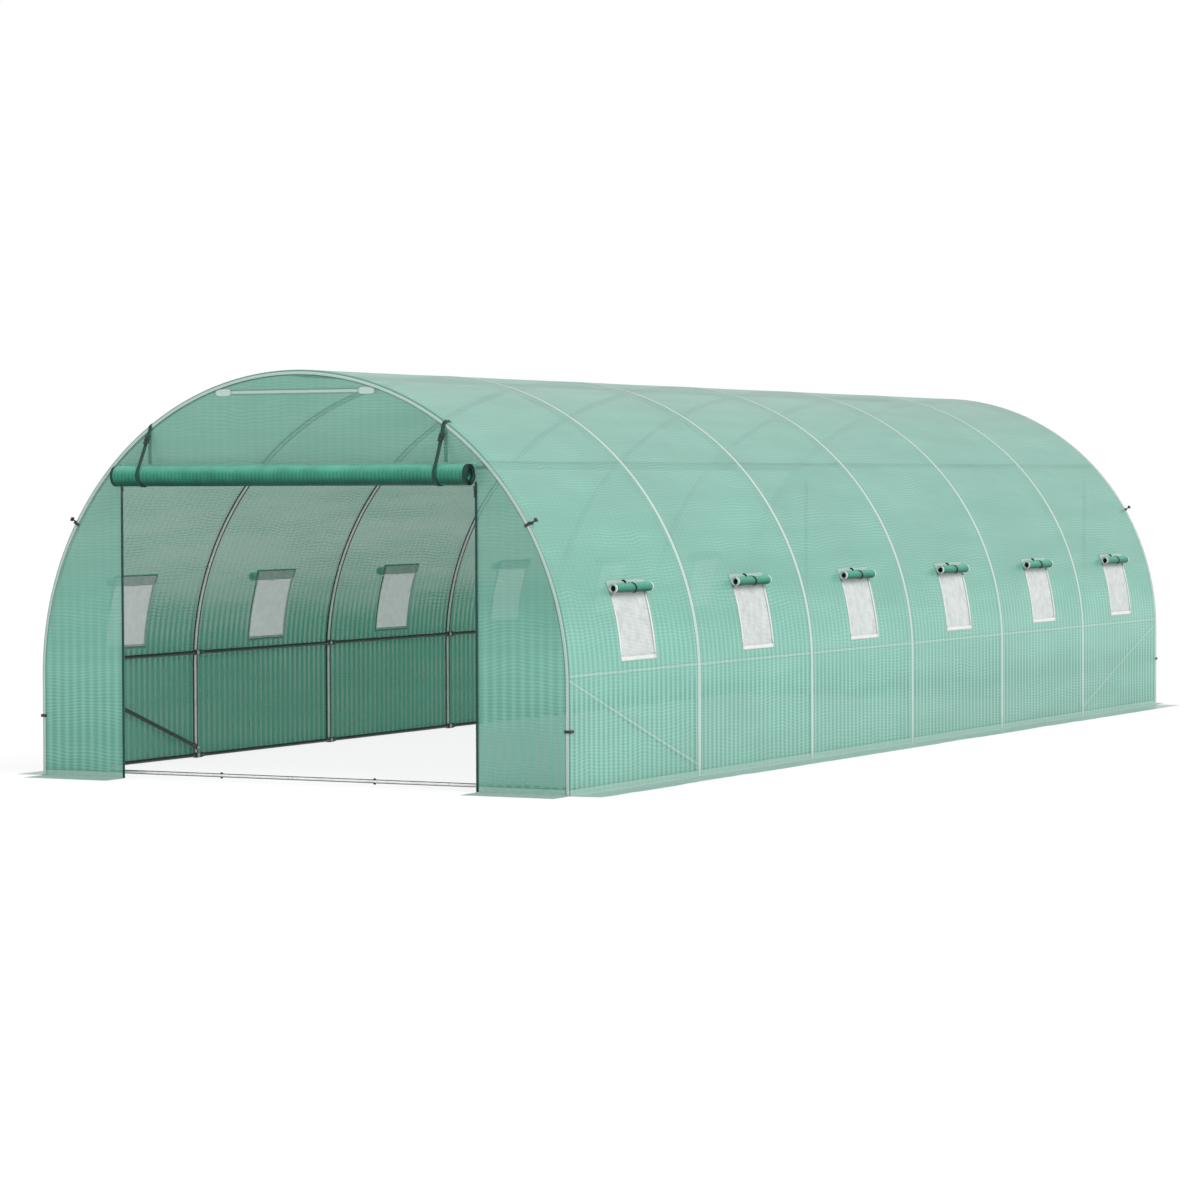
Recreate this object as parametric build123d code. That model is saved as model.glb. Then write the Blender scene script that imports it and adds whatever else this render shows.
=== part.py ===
from build123d import *
import os
from math import acos, asin, atan2, cos, degrees, hypot, pi, radians, sin, sqrt

# A walk-in polytunnel: bent tube hoops, bay tubes with pressed-flat ends, and a woven sheet cover.
# X runs across the tunnel, Y along it with the open door at -Y, and Z up from the ground.

# Overall sizes, measured outside the hoops
tunnel_width = 3000
tunnel_length = 8000
leg_height = 500
bay_count = 6

# Tubes, drawn as rings of flats, with the hoops bent in short straight stretches so that they stay light
hoop_tube = 25
hoop_sides = 8
hoop_stretches = 24
rail_tube = 19
rail_sides = 8

# Pressed ends of the bay tubes, measured from the bolt hole
flat_thickness = 2.4
flat_width = 28
flat_length = 25
taper_length = 35
flat_inset = 1.5
flat_chamfer = 0.8

# Places of the rails
side_rail_rise = 62
rail_ground_gap = 2
brace_lift = 30
brace_spacing = 12

# Tie bar across each gable and the moulded sockets that hold it
tie_bar_drop = 75
socket_length = 100
socket_height = 36
socket_depth = 22
socket_bore_depth = 45
socket_reach = 112

# Cover
cover_thickness = 3
roof_strip_count = 6
skirt_width = 160

# Door, its roll and the zips beside it
door_width_share = 0.667
door_corner_drop = 118
roll_diameter = 106
roll_bore = 54
roll_overlap = 4
roll_drop = 5
roll_tail = 60
zip_width = 16
zip_thickness = 1.5
zip_clearance = 40

# Straps that hold the roll
strap_spacing_share = 0.84
strap_width = 20
strap_thickness = 2
strap_lap = 40
strap_turn_drop = 20
buckle_margin = 5
buckle_height = 34
buckle_depth = 8
buckle_share = 0.32

# Side windows, with lengths measured along the cover
window_width = 332
window_height = 352
window_shift = 32
sill_rise = 126
screen_margin = 12
screen_thickness = 1.5
trim_side = 18
trim_sill = 22
trim_thickness = 2
flap_roll_diameter = 48
flap_roll_bore = 28
flap_roll_sides = 8
flap_roll_overlap = 28
flap_roll_drop = 27
flap_seam_rise = 10
flap_trim_gap = 20
tie_width = 8
tie_thickness = 2
tie_drop = 13

# Clamps that hold the cover on the end hoops
clamp_angle = 30.7
clamp_height = 300
clamp_width = 14
clamp_thickness = 2
clamp_reach = 34
clamp_stud = 8
clamp_stud_sides = 8
clamp_stud_length = 24
clamp_knob = 18
clamp_knob_thickness = 9

# Fits
fit_gap = 0.3
overrun = 50

# Derived sizes
half_length = tunnel_length / 2
stretch_turn = 180 / hoop_stretches
stretch_share = cos(radians(stretch_turn / 2))
hoop_radius = tunnel_width / 2 * stretch_share - hoop_tube / 2
hoop_inner = hoop_radius - hoop_tube / 2
hoop_front = hoop_tube / 2 - half_length
bay = -2 * hoop_front / bay_count
bolt_margin = hoop_tube / 2 - flat_inset
hoop_places = [hoop_front + bay * k for k in range(bay_count + 1)]
window_places = [hoop_front + bay * (k + 0.5) + window_shift for k in range(bay_count)]
base_rail_height = flat_width / 2 + rail_ground_gap
end_rail_height = base_rail_height + rail_tube / 2 + fit_gap + flat_thickness / 2
end_rail_setback = flat_length + taper_length + flat_width / 2
brace_top_height = leg_height + brace_lift
brace_foot_height = base_rail_height + flat_width + brace_spacing
side_rail_height = leg_height + side_rail_rise
upper_rail_angle = hoop_stretches // 4 * stretch_turn
ridge_angle = hoop_stretches // 2 * stretch_turn
tie_bar_height = leg_height + hoop_inner - tie_bar_drop
cover_inner = tunnel_width / 2 + fit_gap
cover_outer = cover_inner + cover_thickness
gable_inner = half_length + fit_gap
gable_outer = gable_inner + cover_thickness
gable_radius = tunnel_width / 2
ridge_height = leg_height + cover_outer
door_width = door_width_share * tunnel_width
door_height = leg_height + sqrt(gable_radius**2 - (door_width / 2) ** 2) - door_corner_drop
sill_angle = degrees(asin(sill_rise / cover_inner))
head_angle = sill_angle + degrees(window_height / cover_inner)
flap_radius = cover_outer + fit_gap
flap_roll_radius = flap_radius + flap_roll_diameter / 2
flap_roll_turn = 180 / flap_roll_sides
flap_roll_angle = head_angle - degrees(flap_roll_drop / cover_outer)
arch_axis = Axis((0, 0, 0), (0, -1, 0))


def arc(length, radius):
    """The angle, in degrees, of a length along the arch."""
    return degrees(length / radius)


def arch_band(start, end, radius, thickness, front, back):
    """A curved sheet on the arch, between two angles and from a front end to a back end."""
    section = Pos(radius + thickness / 2, (front + back) / 2, 0) * Rectangle(thickness, back - front)
    sheet = revolve(section, arch_axis, end - start)
    return Pos(0, 0, leg_height) * Rot(0, -start, 0) * sheet


def on_arch(angle, radius, y):
    """A place on the arch whose Z axis points outward from the middle."""
    x = radius * cos(radians(angle))
    z = leg_height + radius * sin(radians(angle))
    return Pos(x, y, z) * Rot(0, 90 - angle, 0)


def arch_face(radius, foot, top):
    """The tunnel's outline across X, cut to the stretch between two heights."""
    legs = Pos(0, leg_height / 2) * Rectangle(2 * radius, leg_height)
    crown = Pos(0, leg_height) * Circle(radius)
    stretch = Pos(0, (foot + top) / 2) * Rectangle(2 * radius + overrun, top - foot)
    return (legs + crown) & stretch


def arch_prism(radius):
    """The tunnel's outline as a block that runs past both gables and the door roll."""
    face = Plane.XZ * arch_face(radius, 0, leg_height + radius)
    return extrude(face, gable_outer + roll_diameter + overrun, both=True)


def other_side(shape):
    return mirror(shape, about=Plane.YZ)


def other_end(shape):
    return Rot(0, 0, 180) * shape


def round_section(y):
    """The tube's outline at one place along it."""
    reach = rail_tube / 2 / cos(pi / rail_sides)
    turns = [(k + 0.5) * 2 * pi / rail_sides for k in range(rail_sides)]
    return [(reach * cos(t), y, reach * sin(t)) for t in turns]


def flat_section(y):
    """The same outline pressed flat, with each of its eight edges still in its own direction."""
    side = flat_width / 2
    face = flat_thickness / 2
    quarter = [(side, face - flat_chamfer), (side - flat_chamfer, face)]
    half = quarter + [(-x, z) for x, z in reversed(quarter)]
    outline = half + [(-x, -z) for x, z in half]
    return [(x, y, z) for x, z in outline]


def flat_ended_tube(length, margin):
    """A tube along Y pressed flat at both ends, from bolt hole to bolt hole and a margin past each."""
    pressed = flat_length + taper_length
    rings = [
        flat_section(-margin),
        flat_section(flat_length),
        round_section(pressed),
        round_section(length - pressed),
        flat_section(length - flat_length),
        flat_section(length + margin),
    ]
    outlines = [rings[0], rings[-1]]
    for near, far in zip(rings, rings[1:]):
        outlines += [[near[k - 1], near[k], far[k], far[k - 1]] for k in range(rail_sides)]
    return Solid(Shell([Face(Wire.make_polygon(outline)) for outline in outlines]))


def rail_axis(layer):
    """Distance of a rail from the tunnel's middle: the flats of neighbouring bays lie on each other."""
    return hoop_inner - fit_gap - flat_thickness / 2 - layer * (flat_thickness + fit_gap)


def arch_rail(angle):
    """One rail from bay to bay under the arch, with every second tube one flat further in."""
    return [on_arch(angle, rail_axis(k % 2), hoop_places[k]) * bay_tube for k in range(bay_count)]


def leg_rail(height):
    """The same along the straight legs."""
    return [Pos(rail_axis(k % 2), hoop_places[k], height) * Rot(0, 90, 0) * bay_tube for k in range(bay_count)]


def hoop_section(angle, spread_share=1):
    """The outline of a hoop at one angle, spread outward where two straight stretches meet."""
    reach = hoop_tube / 2 / cos(pi / hoop_sides)
    turns = [(k + 0.5) * 2 * pi / hoop_sides for k in range(hoop_sides)]
    corners = [((hoop_radius + reach * cos(t)) * spread_share, reach * sin(t), 0) for t in turns]
    return Rot(0, -angle, 0) * Face(Wire.make_polygon(corners))


def hoop(y):
    """A tube that rises from the ground, bends over the tunnel and comes down on the other side."""
    bends = [hoop_section((k + 0.5) * stretch_turn, 1 / stretch_share) for k in range(hoop_stretches)]
    feet = [Pos(0, 0, -leg_height) * hoop_section(angle) for angle in (0, 180)]
    return Pos(0, y, leg_height) * loft([feet[0], *bends, feet[1]], ruled=True)


def save(name, *shapes):
    """Writes one node, which may hold several solids that stay apart."""
    solids = [solid for shape in shapes for solid in shape.solids()]
    export_step(Compound(solids), f"parts/{name}.step")


os.makedirs("parts", exist_ok=True)
bay_tube = flat_ended_tube(bay, bolt_margin)

# Hoops
for number, place in enumerate(hoop_places, start=1):
    save(f"hoop_{number}", hoop(place))

# Rails along the tunnel
side_rails = leg_rail(side_rail_height)
upper_rails = arch_rail(upper_rail_angle)
save("ridge_purlin", *arch_rail(ridge_angle))
save("upper_purlins", *upper_rails, *[other_side(tube) for tube in upper_rails])
save("side_rails", *side_rails, *[other_side(tube) for tube in side_rails])

# Base rails: along the sides, and across each end on top of the side ones
base_rails = leg_rail(base_rail_height)
save("base_rail_right", *base_rails)
save("base_rail_left", *[other_side(tube) for tube in base_rails])
front_span = rail_axis(0)
rear_span = rail_axis((bay_count - 1) % 2)
front_rail = Pos(front_span, hoop_front + end_rail_setback, end_rail_height) * Rot(0, 0, 90)
rear_rail = Pos(rear_span, -hoop_front - end_rail_setback, end_rail_height) * Rot(0, 0, 90)
front_rail = front_rail * flat_ended_tube(2 * front_span, bolt_margin)
rear_rail = rear_rail * flat_ended_tube(2 * rear_span, bolt_margin)
save("base_rails_ends", front_rail, rear_rail)

# Diagonal braces, from each end hoop down to the foot of the next one
brace_rise = brace_top_height - brace_foot_height
brace_tilt = degrees(atan2(brace_rise, bay))
brace_margin = (bolt_margin - flat_width / 2 * sin(radians(brace_tilt))) / cos(radians(brace_tilt))
brace_tube = flat_ended_tube(hypot(bay, brace_rise), brace_margin)
front_brace = Pos(rail_axis(0), hoop_front, brace_top_height) * Rot(-brace_tilt, 0, 0) * Rot(0, 90, 0) * brace_tube
braces = [front_brace, other_side(front_brace)]
save("diagonal_braces", *braces, *[other_end(tube) for tube in braces])

# Tie bar and sockets in each gable
tie_half = sqrt(hoop_inner**2 - (tie_bar_height - leg_height) ** 2)
socket_end = tie_half - socket_reach
tie_end = socket_end + socket_bore_depth
bore = RegularPolygon(rail_tube / 2 + fit_gap, rail_sides, major_radius=False, rotation=180 / rail_sides)
bar = RegularPolygon(rail_tube / 2, rail_sides, major_radius=False, rotation=180 / rail_sides)
tie_bar = Pos(0, hoop_front, tie_bar_height) * extrude(Plane.YZ * bar, tie_end, both=True)
save("gable_tie_bars", tie_bar, other_end(tie_bar))
block = Box(socket_length, socket_depth, socket_height, align=(Align.MIN, Align.CENTER, Align.CENTER))
hole = extrude(Plane.YZ * bore, socket_bore_depth + fit_gap)
socket = Pos(socket_end, hoop_front, tie_bar_height) * (block - hole)
hoop_hollow = RegularPolygon(
    hoop_inner - fit_gap, 2 * hoop_stretches, major_radius=False, rotation=stretch_turn / 2
)
socket = socket & extrude(Plane.XZ * (Pos(0, leg_height) * hoop_hollow), half_length, both=True)
sockets = [socket, other_side(socket)]
save("tie_bar_sockets", *sockets, *[other_end(piece) for piece in sockets])

# Cover: low walls, the band between the windows, and roof strips
wall = Pos(cover_inner + cover_thickness / 2, 0, cover_thickness) * Box(
    cover_thickness, 2 * gable_outer, leg_height - cover_thickness, align=(Align.CENTER, Align.CENTER, Align.MIN)
)
low_wall = wall + arch_band(0, sill_angle, cover_inner, cover_thickness, -gable_outer, gable_outer)
save("wall_low_right", low_wall)
save("wall_low_left", other_side(low_wall))
pier_fronts = [-gable_outer] + [middle + window_width / 2 for middle in window_places]
pier_backs = [middle - window_width / 2 for middle in window_places] + [gable_outer]
piers = [
    arch_band(sill_angle, head_angle, cover_inner, cover_thickness, front, back)
    for front, back in zip(pier_fronts, pier_backs)
]
save("wall_piers_right", *piers)
save("wall_piers_left", *[other_side(pier) for pier in piers])
strip_turn = (180 - 2 * head_angle) / roof_strip_count
for number in range(roof_strip_count):
    start = head_angle + number * strip_turn
    strip = arch_band(start, start + strip_turn, cover_inner, cover_thickness, -gable_outer, gable_outer)
    save(f"roof_strip_{number + 1}", strip)

# Gables: an open doorway in front and a door panel that is zipped shut behind
front_plane = Plane.XZ.offset(gable_inner)
low_face = arch_face(gable_radius, cover_thickness, door_height) - Rectangle(door_width, 2 * door_height)
low_panels = extrude(front_plane * low_face, cover_thickness).solids().sort_by(Axis.X)
top_panel = extrude(front_plane * arch_face(gable_radius, door_height, ridge_height), cover_thickness)
save("gable_front_left", low_panels[0])
save("gable_front_right", low_panels[1])
save("gable_front_top", top_panel)
save("gable_rear_left", other_end(low_panels[1]))
save("gable_rear_right", other_end(low_panels[0]))
save("gable_rear_top", other_end(top_panel))
door_panel = Box(
    door_width - 2 * fit_gap,
    cover_thickness,
    door_height - cover_thickness - fit_gap,
    align=(Align.CENTER, Align.MIN, Align.MIN),
)
save("rear_door", Pos(0, gable_inner, cover_thickness) * door_panel)
zip_tape = Pos(door_width / 2, -gable_outer, cover_thickness) * Box(
    zip_width,
    zip_thickness,
    door_height - cover_thickness - zip_clearance,
    align=(Align.MIN, Align.MAX, Align.MIN),
)
zips = [zip_tape, other_side(zip_tape)]
save("door_zips", *zips, *[other_end(tape) for tape in zips])

# Ground flaps, left open at the corners and at the door
side_skirt = Pos(cover_inner, 0, 0) * Box(
    cover_thickness + skirt_width, 2 * gable_outer, cover_thickness, align=(Align.MIN, Align.CENTER, Align.MIN)
)
save("ground_flap_right", side_skirt)
save("ground_flap_left", other_side(side_skirt))
end_skirt = Pos(door_width / 2, -gable_inner, 0) * Box(
    gable_radius - door_width / 2,
    cover_thickness + skirt_width,
    cover_thickness,
    align=(Align.MIN, Align.MAX, Align.MIN),
)
end_skirts = [end_skirt, other_side(end_skirt)]
save("ground_flaps_ends", *end_skirts, *[other_end(flap) for flap in end_skirts])

# Door roll: the sheet rolled up on itself, with its last turn sewn to the gable
roll_radius = roll_diameter / 2
roll_y = -gable_outer - fit_gap - roll_radius
roll_z = door_height - roll_drop
roll_length = door_width + 2 * roll_overlap
roll_ring = Pos(roll_y, roll_z) * (Circle(roll_radius) - Circle(roll_bore / 2))
tail_face = Pos(roll_y + roll_radius - cover_thickness / 2, roll_z + roll_tail / 2) * Rectangle(cover_thickness, roll_tail)
roll_face = roll_ring + (tail_face - Pos(roll_y, roll_z) * Circle(roll_bore / 2))
save("door_roll", extrude(Plane.YZ * roll_face, roll_length / 2, both=True))

# Straps: over the end hoop, down in front of the roll, under it and up inside the gable
strap_x = strap_spacing_share * door_width / 2
loop_radius = roll_radius + fit_gap + strap_thickness / 2
strap_radius = cover_outer + fit_gap
strap_angle = degrees(acos(strap_x / strap_radius))
front_y = -gable_outer - fit_gap - strap_thickness / 2
edge_z = leg_height + strap_radius * sin(radians(strap_angle))
front_z = edge_z - strap_width
turn_y = fit_gap + strap_thickness / 2 - gable_inner
turn_z = door_height - strap_turn_drop
hang_z = leg_height + sqrt(hoop_inner**2 - (strap_x + strap_width / 2) ** 2) - fit_gap


def tangent_turn(y, z, side):
    """Where a line from a point touches the strap's loop round the roll, as an angle."""
    bearing = atan2(z - roll_z, y - roll_y)
    return bearing + side * acos(loop_radius / hypot(y - roll_y, z - roll_z))


front_turn = tangent_turn(front_y, front_z, 1)
back_turn = tangent_turn(turn_y, turn_z, -1)
front_touch = (roll_y + loop_radius * cos(front_turn), roll_z + loop_radius * sin(front_turn))
back_touch = (roll_y + loop_radius * cos(back_turn), roll_z + loop_radius * sin(back_turn))
under_roll = CenterArc(
    (roll_y, roll_z), loop_radius, degrees(front_turn), degrees(back_turn - front_turn) % 360
)
front_run = Polyline((front_y, edge_z + strap_width), (front_y, front_z), front_touch)
back_run = Polyline(back_touch, (turn_y, turn_z), (turn_y, hang_z))
strap_line = Wire([*front_run.edges(), under_roll, *back_run.edges()])
strap_face = Plane.YZ * make_face(strap_line.offset_2d(strap_thickness / 2, Kind.INTERSECTION, Side.BOTH))
hanging = Pos(strap_x, 0, 0) * extrude(strap_face, strap_width / 2, both=True)
hanging = hanging & arch_prism(strap_radius + strap_thickness)
half_lap = arc(strap_width / 2, strap_radius)
lap = arch_band(
    strap_angle - half_lap,
    strap_angle + half_lap,
    strap_radius,
    strap_thickness,
    front_y - strap_thickness / 2,
    strap_lap - gable_outer,
)
strap = hanging + lap
save("door_straps", strap, other_side(strap))

# Buckles on the front of the straps
run_y = front_touch[0] - front_y
run_z = front_touch[1] - front_z
buckle_frame = Box(strap_width + 2 * buckle_margin, buckle_depth, buckle_height)
buckle_slot = Box(strap_width + 2 * fit_gap, strap_thickness + 2 * fit_gap, buckle_height + overrun)
buckle_place = Pos(strap_x, front_y + buckle_share * run_y, front_z + buckle_share * run_z)
buckle = buckle_place * Rot(degrees(atan2(run_y, -run_z)), 0, 0) * (buckle_frame - buckle_slot)
save("strap_buckles", buckle, other_side(buckle))


def flap_ring(outer, inner):
    """The end of a rolled flap or of its tie, as a ring of flats."""
    outside, hollow = [
        RegularPolygon(radius, flap_roll_sides, major_radius=False, rotation=flap_roll_turn)
        for radius in (outer, inner)
    ]
    return outside - hollow


def window_pieces(middle):
    """The screen, trim, rolled flap and tie of one window on the right wall."""
    half = window_width / 2
    screen_edge = arc(screen_margin, cover_inner)
    screen = arch_band(
        sill_angle - screen_edge,
        head_angle + screen_edge,
        cover_inner - fit_gap - screen_thickness,
        screen_thickness,
        middle - half - screen_margin,
        middle + half + screen_margin,
    )
    trim_top = flap_roll_angle - arc(flap_trim_gap, cover_outer)
    trim_foot = sill_angle - arc(trim_sill, cover_outer)
    edge = half + trim_side
    trim = arch_band(trim_foot, trim_top, cover_outer, trim_thickness, middle - edge, middle + edge)
    trim = trim - arch_band(sill_angle, head_angle, cover_inner, overrun, middle - half, middle + half)
    roll_place = on_arch(flap_roll_angle, flap_roll_radius, middle)
    flap_half = window_width / 2 + flap_roll_overlap
    ring = flap_ring(flap_roll_diameter / 2, flap_roll_bore / 2)
    roll = roll_place * extrude(Plane.XZ * ring, flap_half, both=True)
    seam_angle = head_angle + arc(flap_seam_rise, cover_outer)
    tail = arch_band(
        flap_roll_angle, seam_angle, flap_radius, cover_thickness, middle - flap_half, middle + flap_half
    )
    tie_reach = flap_roll_diameter / 2 + fit_gap
    tie_ring = flap_ring(tie_reach + tie_thickness, tie_reach)
    tie_gap = Pos(0, -tie_drop - overrun / 2) * Rectangle(2 * flap_roll_diameter, overrun)
    tie = roll_place * extrude(Plane.XZ * (tie_ring - tie_gap), tie_width / 2, both=True)
    return screen, trim, roll + tail, tie


# Windows, one in each bay on both sides
right_windows = [window_pieces(middle) for middle in window_places]
for index, name in enumerate(["window_screens", "window_trims", "window_flaps", "window_ties"]):
    right_pieces = [window[index] for window in right_windows]
    save(name, *right_pieces, *[other_side(piece) for piece in right_pieces])

# Clamps on the end hoops: a saddle over the cover's edge, and a stud with a knob on the upper ones
clamp_front = -gable_outer - clamp_thickness
saddle_turn = arc(clamp_width / 2, cover_outer)
upper_saddle = arch_band(
    clamp_angle - saddle_turn,
    clamp_angle + saddle_turn,
    cover_outer,
    clamp_thickness,
    clamp_front,
    clamp_front + clamp_reach,
)
upper_saddle = upper_saddle + arch_band(
    clamp_angle - saddle_turn,
    clamp_angle + saddle_turn,
    cover_outer + clamp_thickness - clamp_reach,
    clamp_reach,
    clamp_front,
    -gable_outer,
)
stud_foot = on_arch(clamp_angle, cover_outer, hoop_front)
stud = stud_foot * extrude(RegularPolygon(clamp_stud / 2, clamp_stud_sides), clamp_stud_length)
knob = Box(clamp_knob, clamp_knob, clamp_knob_thickness, align=(Align.CENTER, Align.CENTER, Align.MIN))
upper_clamp = upper_saddle + stud + stud_foot * Pos(0, 0, clamp_stud_length) * knob
side_saddle = Pos(cover_outer + clamp_thickness, clamp_front, clamp_height) * (
    Box(clamp_thickness, clamp_reach, clamp_width, align=(Align.MAX, Align.MIN, Align.CENTER))
    + Box(clamp_reach, clamp_thickness, clamp_width, align=(Align.MAX, Align.MIN, Align.CENTER))
)
clamps = [upper_clamp, side_saddle]
clamps = clamps + [other_side(clamp) for clamp in clamps]
save("cover_clamps", *clamps, *[other_end(clamp) for clamp in clamps])
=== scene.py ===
import bpy
import bmesh
from collections import namedtuple
from functools import wraps
from math import acos, atan2, copysign, cos, hypot, pi, radians, sin, sqrt, tau
from mathutils import Matrix, Vector, noise

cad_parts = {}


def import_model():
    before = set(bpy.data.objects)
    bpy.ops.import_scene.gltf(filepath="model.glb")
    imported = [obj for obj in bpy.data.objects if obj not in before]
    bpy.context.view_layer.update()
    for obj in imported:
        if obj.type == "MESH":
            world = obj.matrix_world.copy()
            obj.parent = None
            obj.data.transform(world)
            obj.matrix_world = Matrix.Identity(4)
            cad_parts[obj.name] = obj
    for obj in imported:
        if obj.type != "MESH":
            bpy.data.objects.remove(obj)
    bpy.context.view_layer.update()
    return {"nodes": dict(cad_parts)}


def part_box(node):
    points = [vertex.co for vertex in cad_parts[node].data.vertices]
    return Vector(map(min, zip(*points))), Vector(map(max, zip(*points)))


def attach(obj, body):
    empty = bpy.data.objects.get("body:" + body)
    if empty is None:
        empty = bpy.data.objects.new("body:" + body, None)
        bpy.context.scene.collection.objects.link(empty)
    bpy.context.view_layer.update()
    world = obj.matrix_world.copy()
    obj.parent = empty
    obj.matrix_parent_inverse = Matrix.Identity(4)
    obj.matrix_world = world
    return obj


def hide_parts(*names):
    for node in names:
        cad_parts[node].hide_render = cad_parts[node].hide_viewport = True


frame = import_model()

bl_info = {
    "name": "Polytunnel greenhouse",
    "version": (1, 0, 0),
    "blender": (4, 5, 0),
    "location": "View3D > Sidebar > Polytunnel",
    "description": "Dresses the frame of a walk-in polytunnel with its film, doors, windows and fittings",
    "category": "Object",
}

# Places read from the frame, in metres
HOOPS = [f"hoop_{number}" for number in range(1, 8)]
HOOP_Y = [(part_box(hoop)[0].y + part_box(hoop)[1].y) / 2 for hoop in HOOPS]
BAYS = len(HOOPS) - 1
SPAN = HOOP_Y[-1] - HOOP_Y[0]
BAY = SPAN / BAYS
TRIM_LOW, TRIM_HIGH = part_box("window_trims")
WINDOW_SHIFT = (TRIM_LOW.y + TRIM_HIGH.y) / 2
WINDOW_MIDDLES = [(HOOP_Y[index] + HOOP_Y[index + 1]) / 2 + WINDOW_SHIFT for index in range(BAYS)]
ROLL_LOW, ROLL_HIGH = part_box("door_roll")
ROLL_RADIUS = (ROLL_HIGH.y - ROLL_LOW.y) / 2
ROLL_CENTRE = (ROLL_LOW.y + ROLL_RADIUS, ROLL_LOW.z + ROLL_RADIUS)
DOOR_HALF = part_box("rear_door")[1].x
DOOR_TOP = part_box("rear_door")[1].z
ZIP_LOW, ZIP_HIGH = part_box("door_zips")
FLAP_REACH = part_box("ground_flap_right")[1].x
END_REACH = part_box("ground_flaps_ends")[1].y
TIE_LOW, TIE_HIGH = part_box("gable_tie_bars")
TIE_HEIGHT = (TIE_LOW.z + TIE_HIGH.z) / 2
SOCKET_LENGTH, SOCKET_HALF_HEIGHT = 0.09, 0.018
SOCKET_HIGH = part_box("tie_bar_sockets")[1].x
SOCKET_LOW = SOCKET_HIGH - SOCKET_LENGTH

# Places of the ground rails and braces, and the fits between pieces, in metres
BASE_RAIL_HEIGHT = 0.016
END_RAIL_PLACE, END_RAIL_HEIGHT = 3.9135, 0.027
RAIL_JOINTS = (-0.488, 0.388)
BRACE_TOP, BRACE_FOOT = 0.530, 0.056
FIT_GAP = 0.0003
BOLT_MARGIN, BRACE_MARGIN = 0.011, 0.007

# Film: height of its lower edge, how far the end flaps stop short of the side walls, and the strength of the
# gables' ribs, low down and high up
FILM_FOOT = 0.004
END_FLAP_INSET = 0.002
GABLE_RIBS = (0.5, 0.1)

# Windows: the net's sewn margin, and the tapes beside and under it
NET_MARGIN = 0.012
SIDE_TAPE, SILL_TAPE = 0.018, 0.022
TAPE_DROP = 0.047

SIDES = ((1, "right"), (-1, "left"))
ENDS = ((-1, "front"), (1, "rear"))
ACROSS, FORWARD, UPWARD = Vector((1, 0, 0)), Vector((0, 1, 0)), Vector((0, 0, 1))

BAY_RAILS = ["ridge_purlin", "upper_purlins", "side_rails", "base_rail_left", "base_rail_right"]
COVER_NODES = [
    "wall_low_left",
    "wall_low_right",
    "wall_piers_left",
    "wall_piers_right",
    *[f"roof_strip_{number}" for number in range(1, 7)],
]


def length(label, words, value):
    """A length that a user may change."""
    return bpy.props.FloatProperty(name=label, description=words, default=value, unit="LENGTH", precision=4)


def bend(label, words, value):
    """An angle on the arch that a user may change, given in degrees."""
    return bpy.props.FloatProperty(name=label, description=words, default=radians(value), subtype="ANGLE")


def colour(label, words, value):
    """A colour that a user may change."""
    return bpy.props.FloatVectorProperty(
        name=label, description=words, default=(*value, 1.0), size=4, min=0.0, max=1.0, subtype="COLOR"
    )


def share(label, words, value):
    """A share from 0 to 1 that a user may change."""
    return bpy.props.FloatProperty(
        name=label, description=words, default=value, min=0.0, max=1.0, subtype="FACTOR"
    )


class PolytunnelSizes(bpy.types.PropertyGroup):
    """Sizes of the dressed pieces"""

    hoop_radius: length("Hoop radius", "Radius of a hoop's centre line", 1.4875)
    leg_height: length("Leg height", "Height at which the hoops start to bend", 0.5)
    hoop_tube: length("Hoop tube", "Outside diameter of the hoop tubes", 0.025)
    rail_tube: length("Rail tube", "Outside diameter of the rails and braces", 0.019)
    rail_rise: length("Side rail rise", "Height of the side rails above the straight legs", 0.062)
    pressed_width: length("Pressed width", "Width of a rail's pressed end", 0.028)
    pressed_thickness: length("Pressed thickness", "Thickness of a rail's pressed end", 0.0024)
    film_stand: length("Film stand", "Film's distance from the hoop's centre line", 0.0147)
    film_sag: length("Film sag", "How far the film hangs in between two hoops", 0.006)
    rib_pitch: length("Rib pitch", "Spacing of the film's strong threads", 0.050)
    streak_pitch: length("Streak pitch", "Spacing of the film's fine threads", 0.0165)
    window_width: length("Window width", "Width of a window's opening", 0.332)
    window_sill: bend("Window sill", "Angle of the sill on the arch", 4.82)
    window_head: bend("Window head", "Angle of the head on the arch", 18.26)
    flap_roll: length("Flap roll", "Outside diameter of a rolled window flap", 0.048)
    flap_length: length("Flap length", "Length of a rolled window flap", 0.388)
    flap_drop: length("Flap drop", "How far a rolled flap hangs under the window's head", 0.027)
    strap_width: length("Strap width", "Width of the door's straps", 0.02)
    strap_place: length("Strap place", "A strap's distance from the tunnel's middle", 0.8405)
    zip_width: length("Zip width", "Width of a zip tape", 0.012)
    stitch_pitch: length("Stitch pitch", "Spacing of the stitches in the tapes", 0.009)


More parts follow.
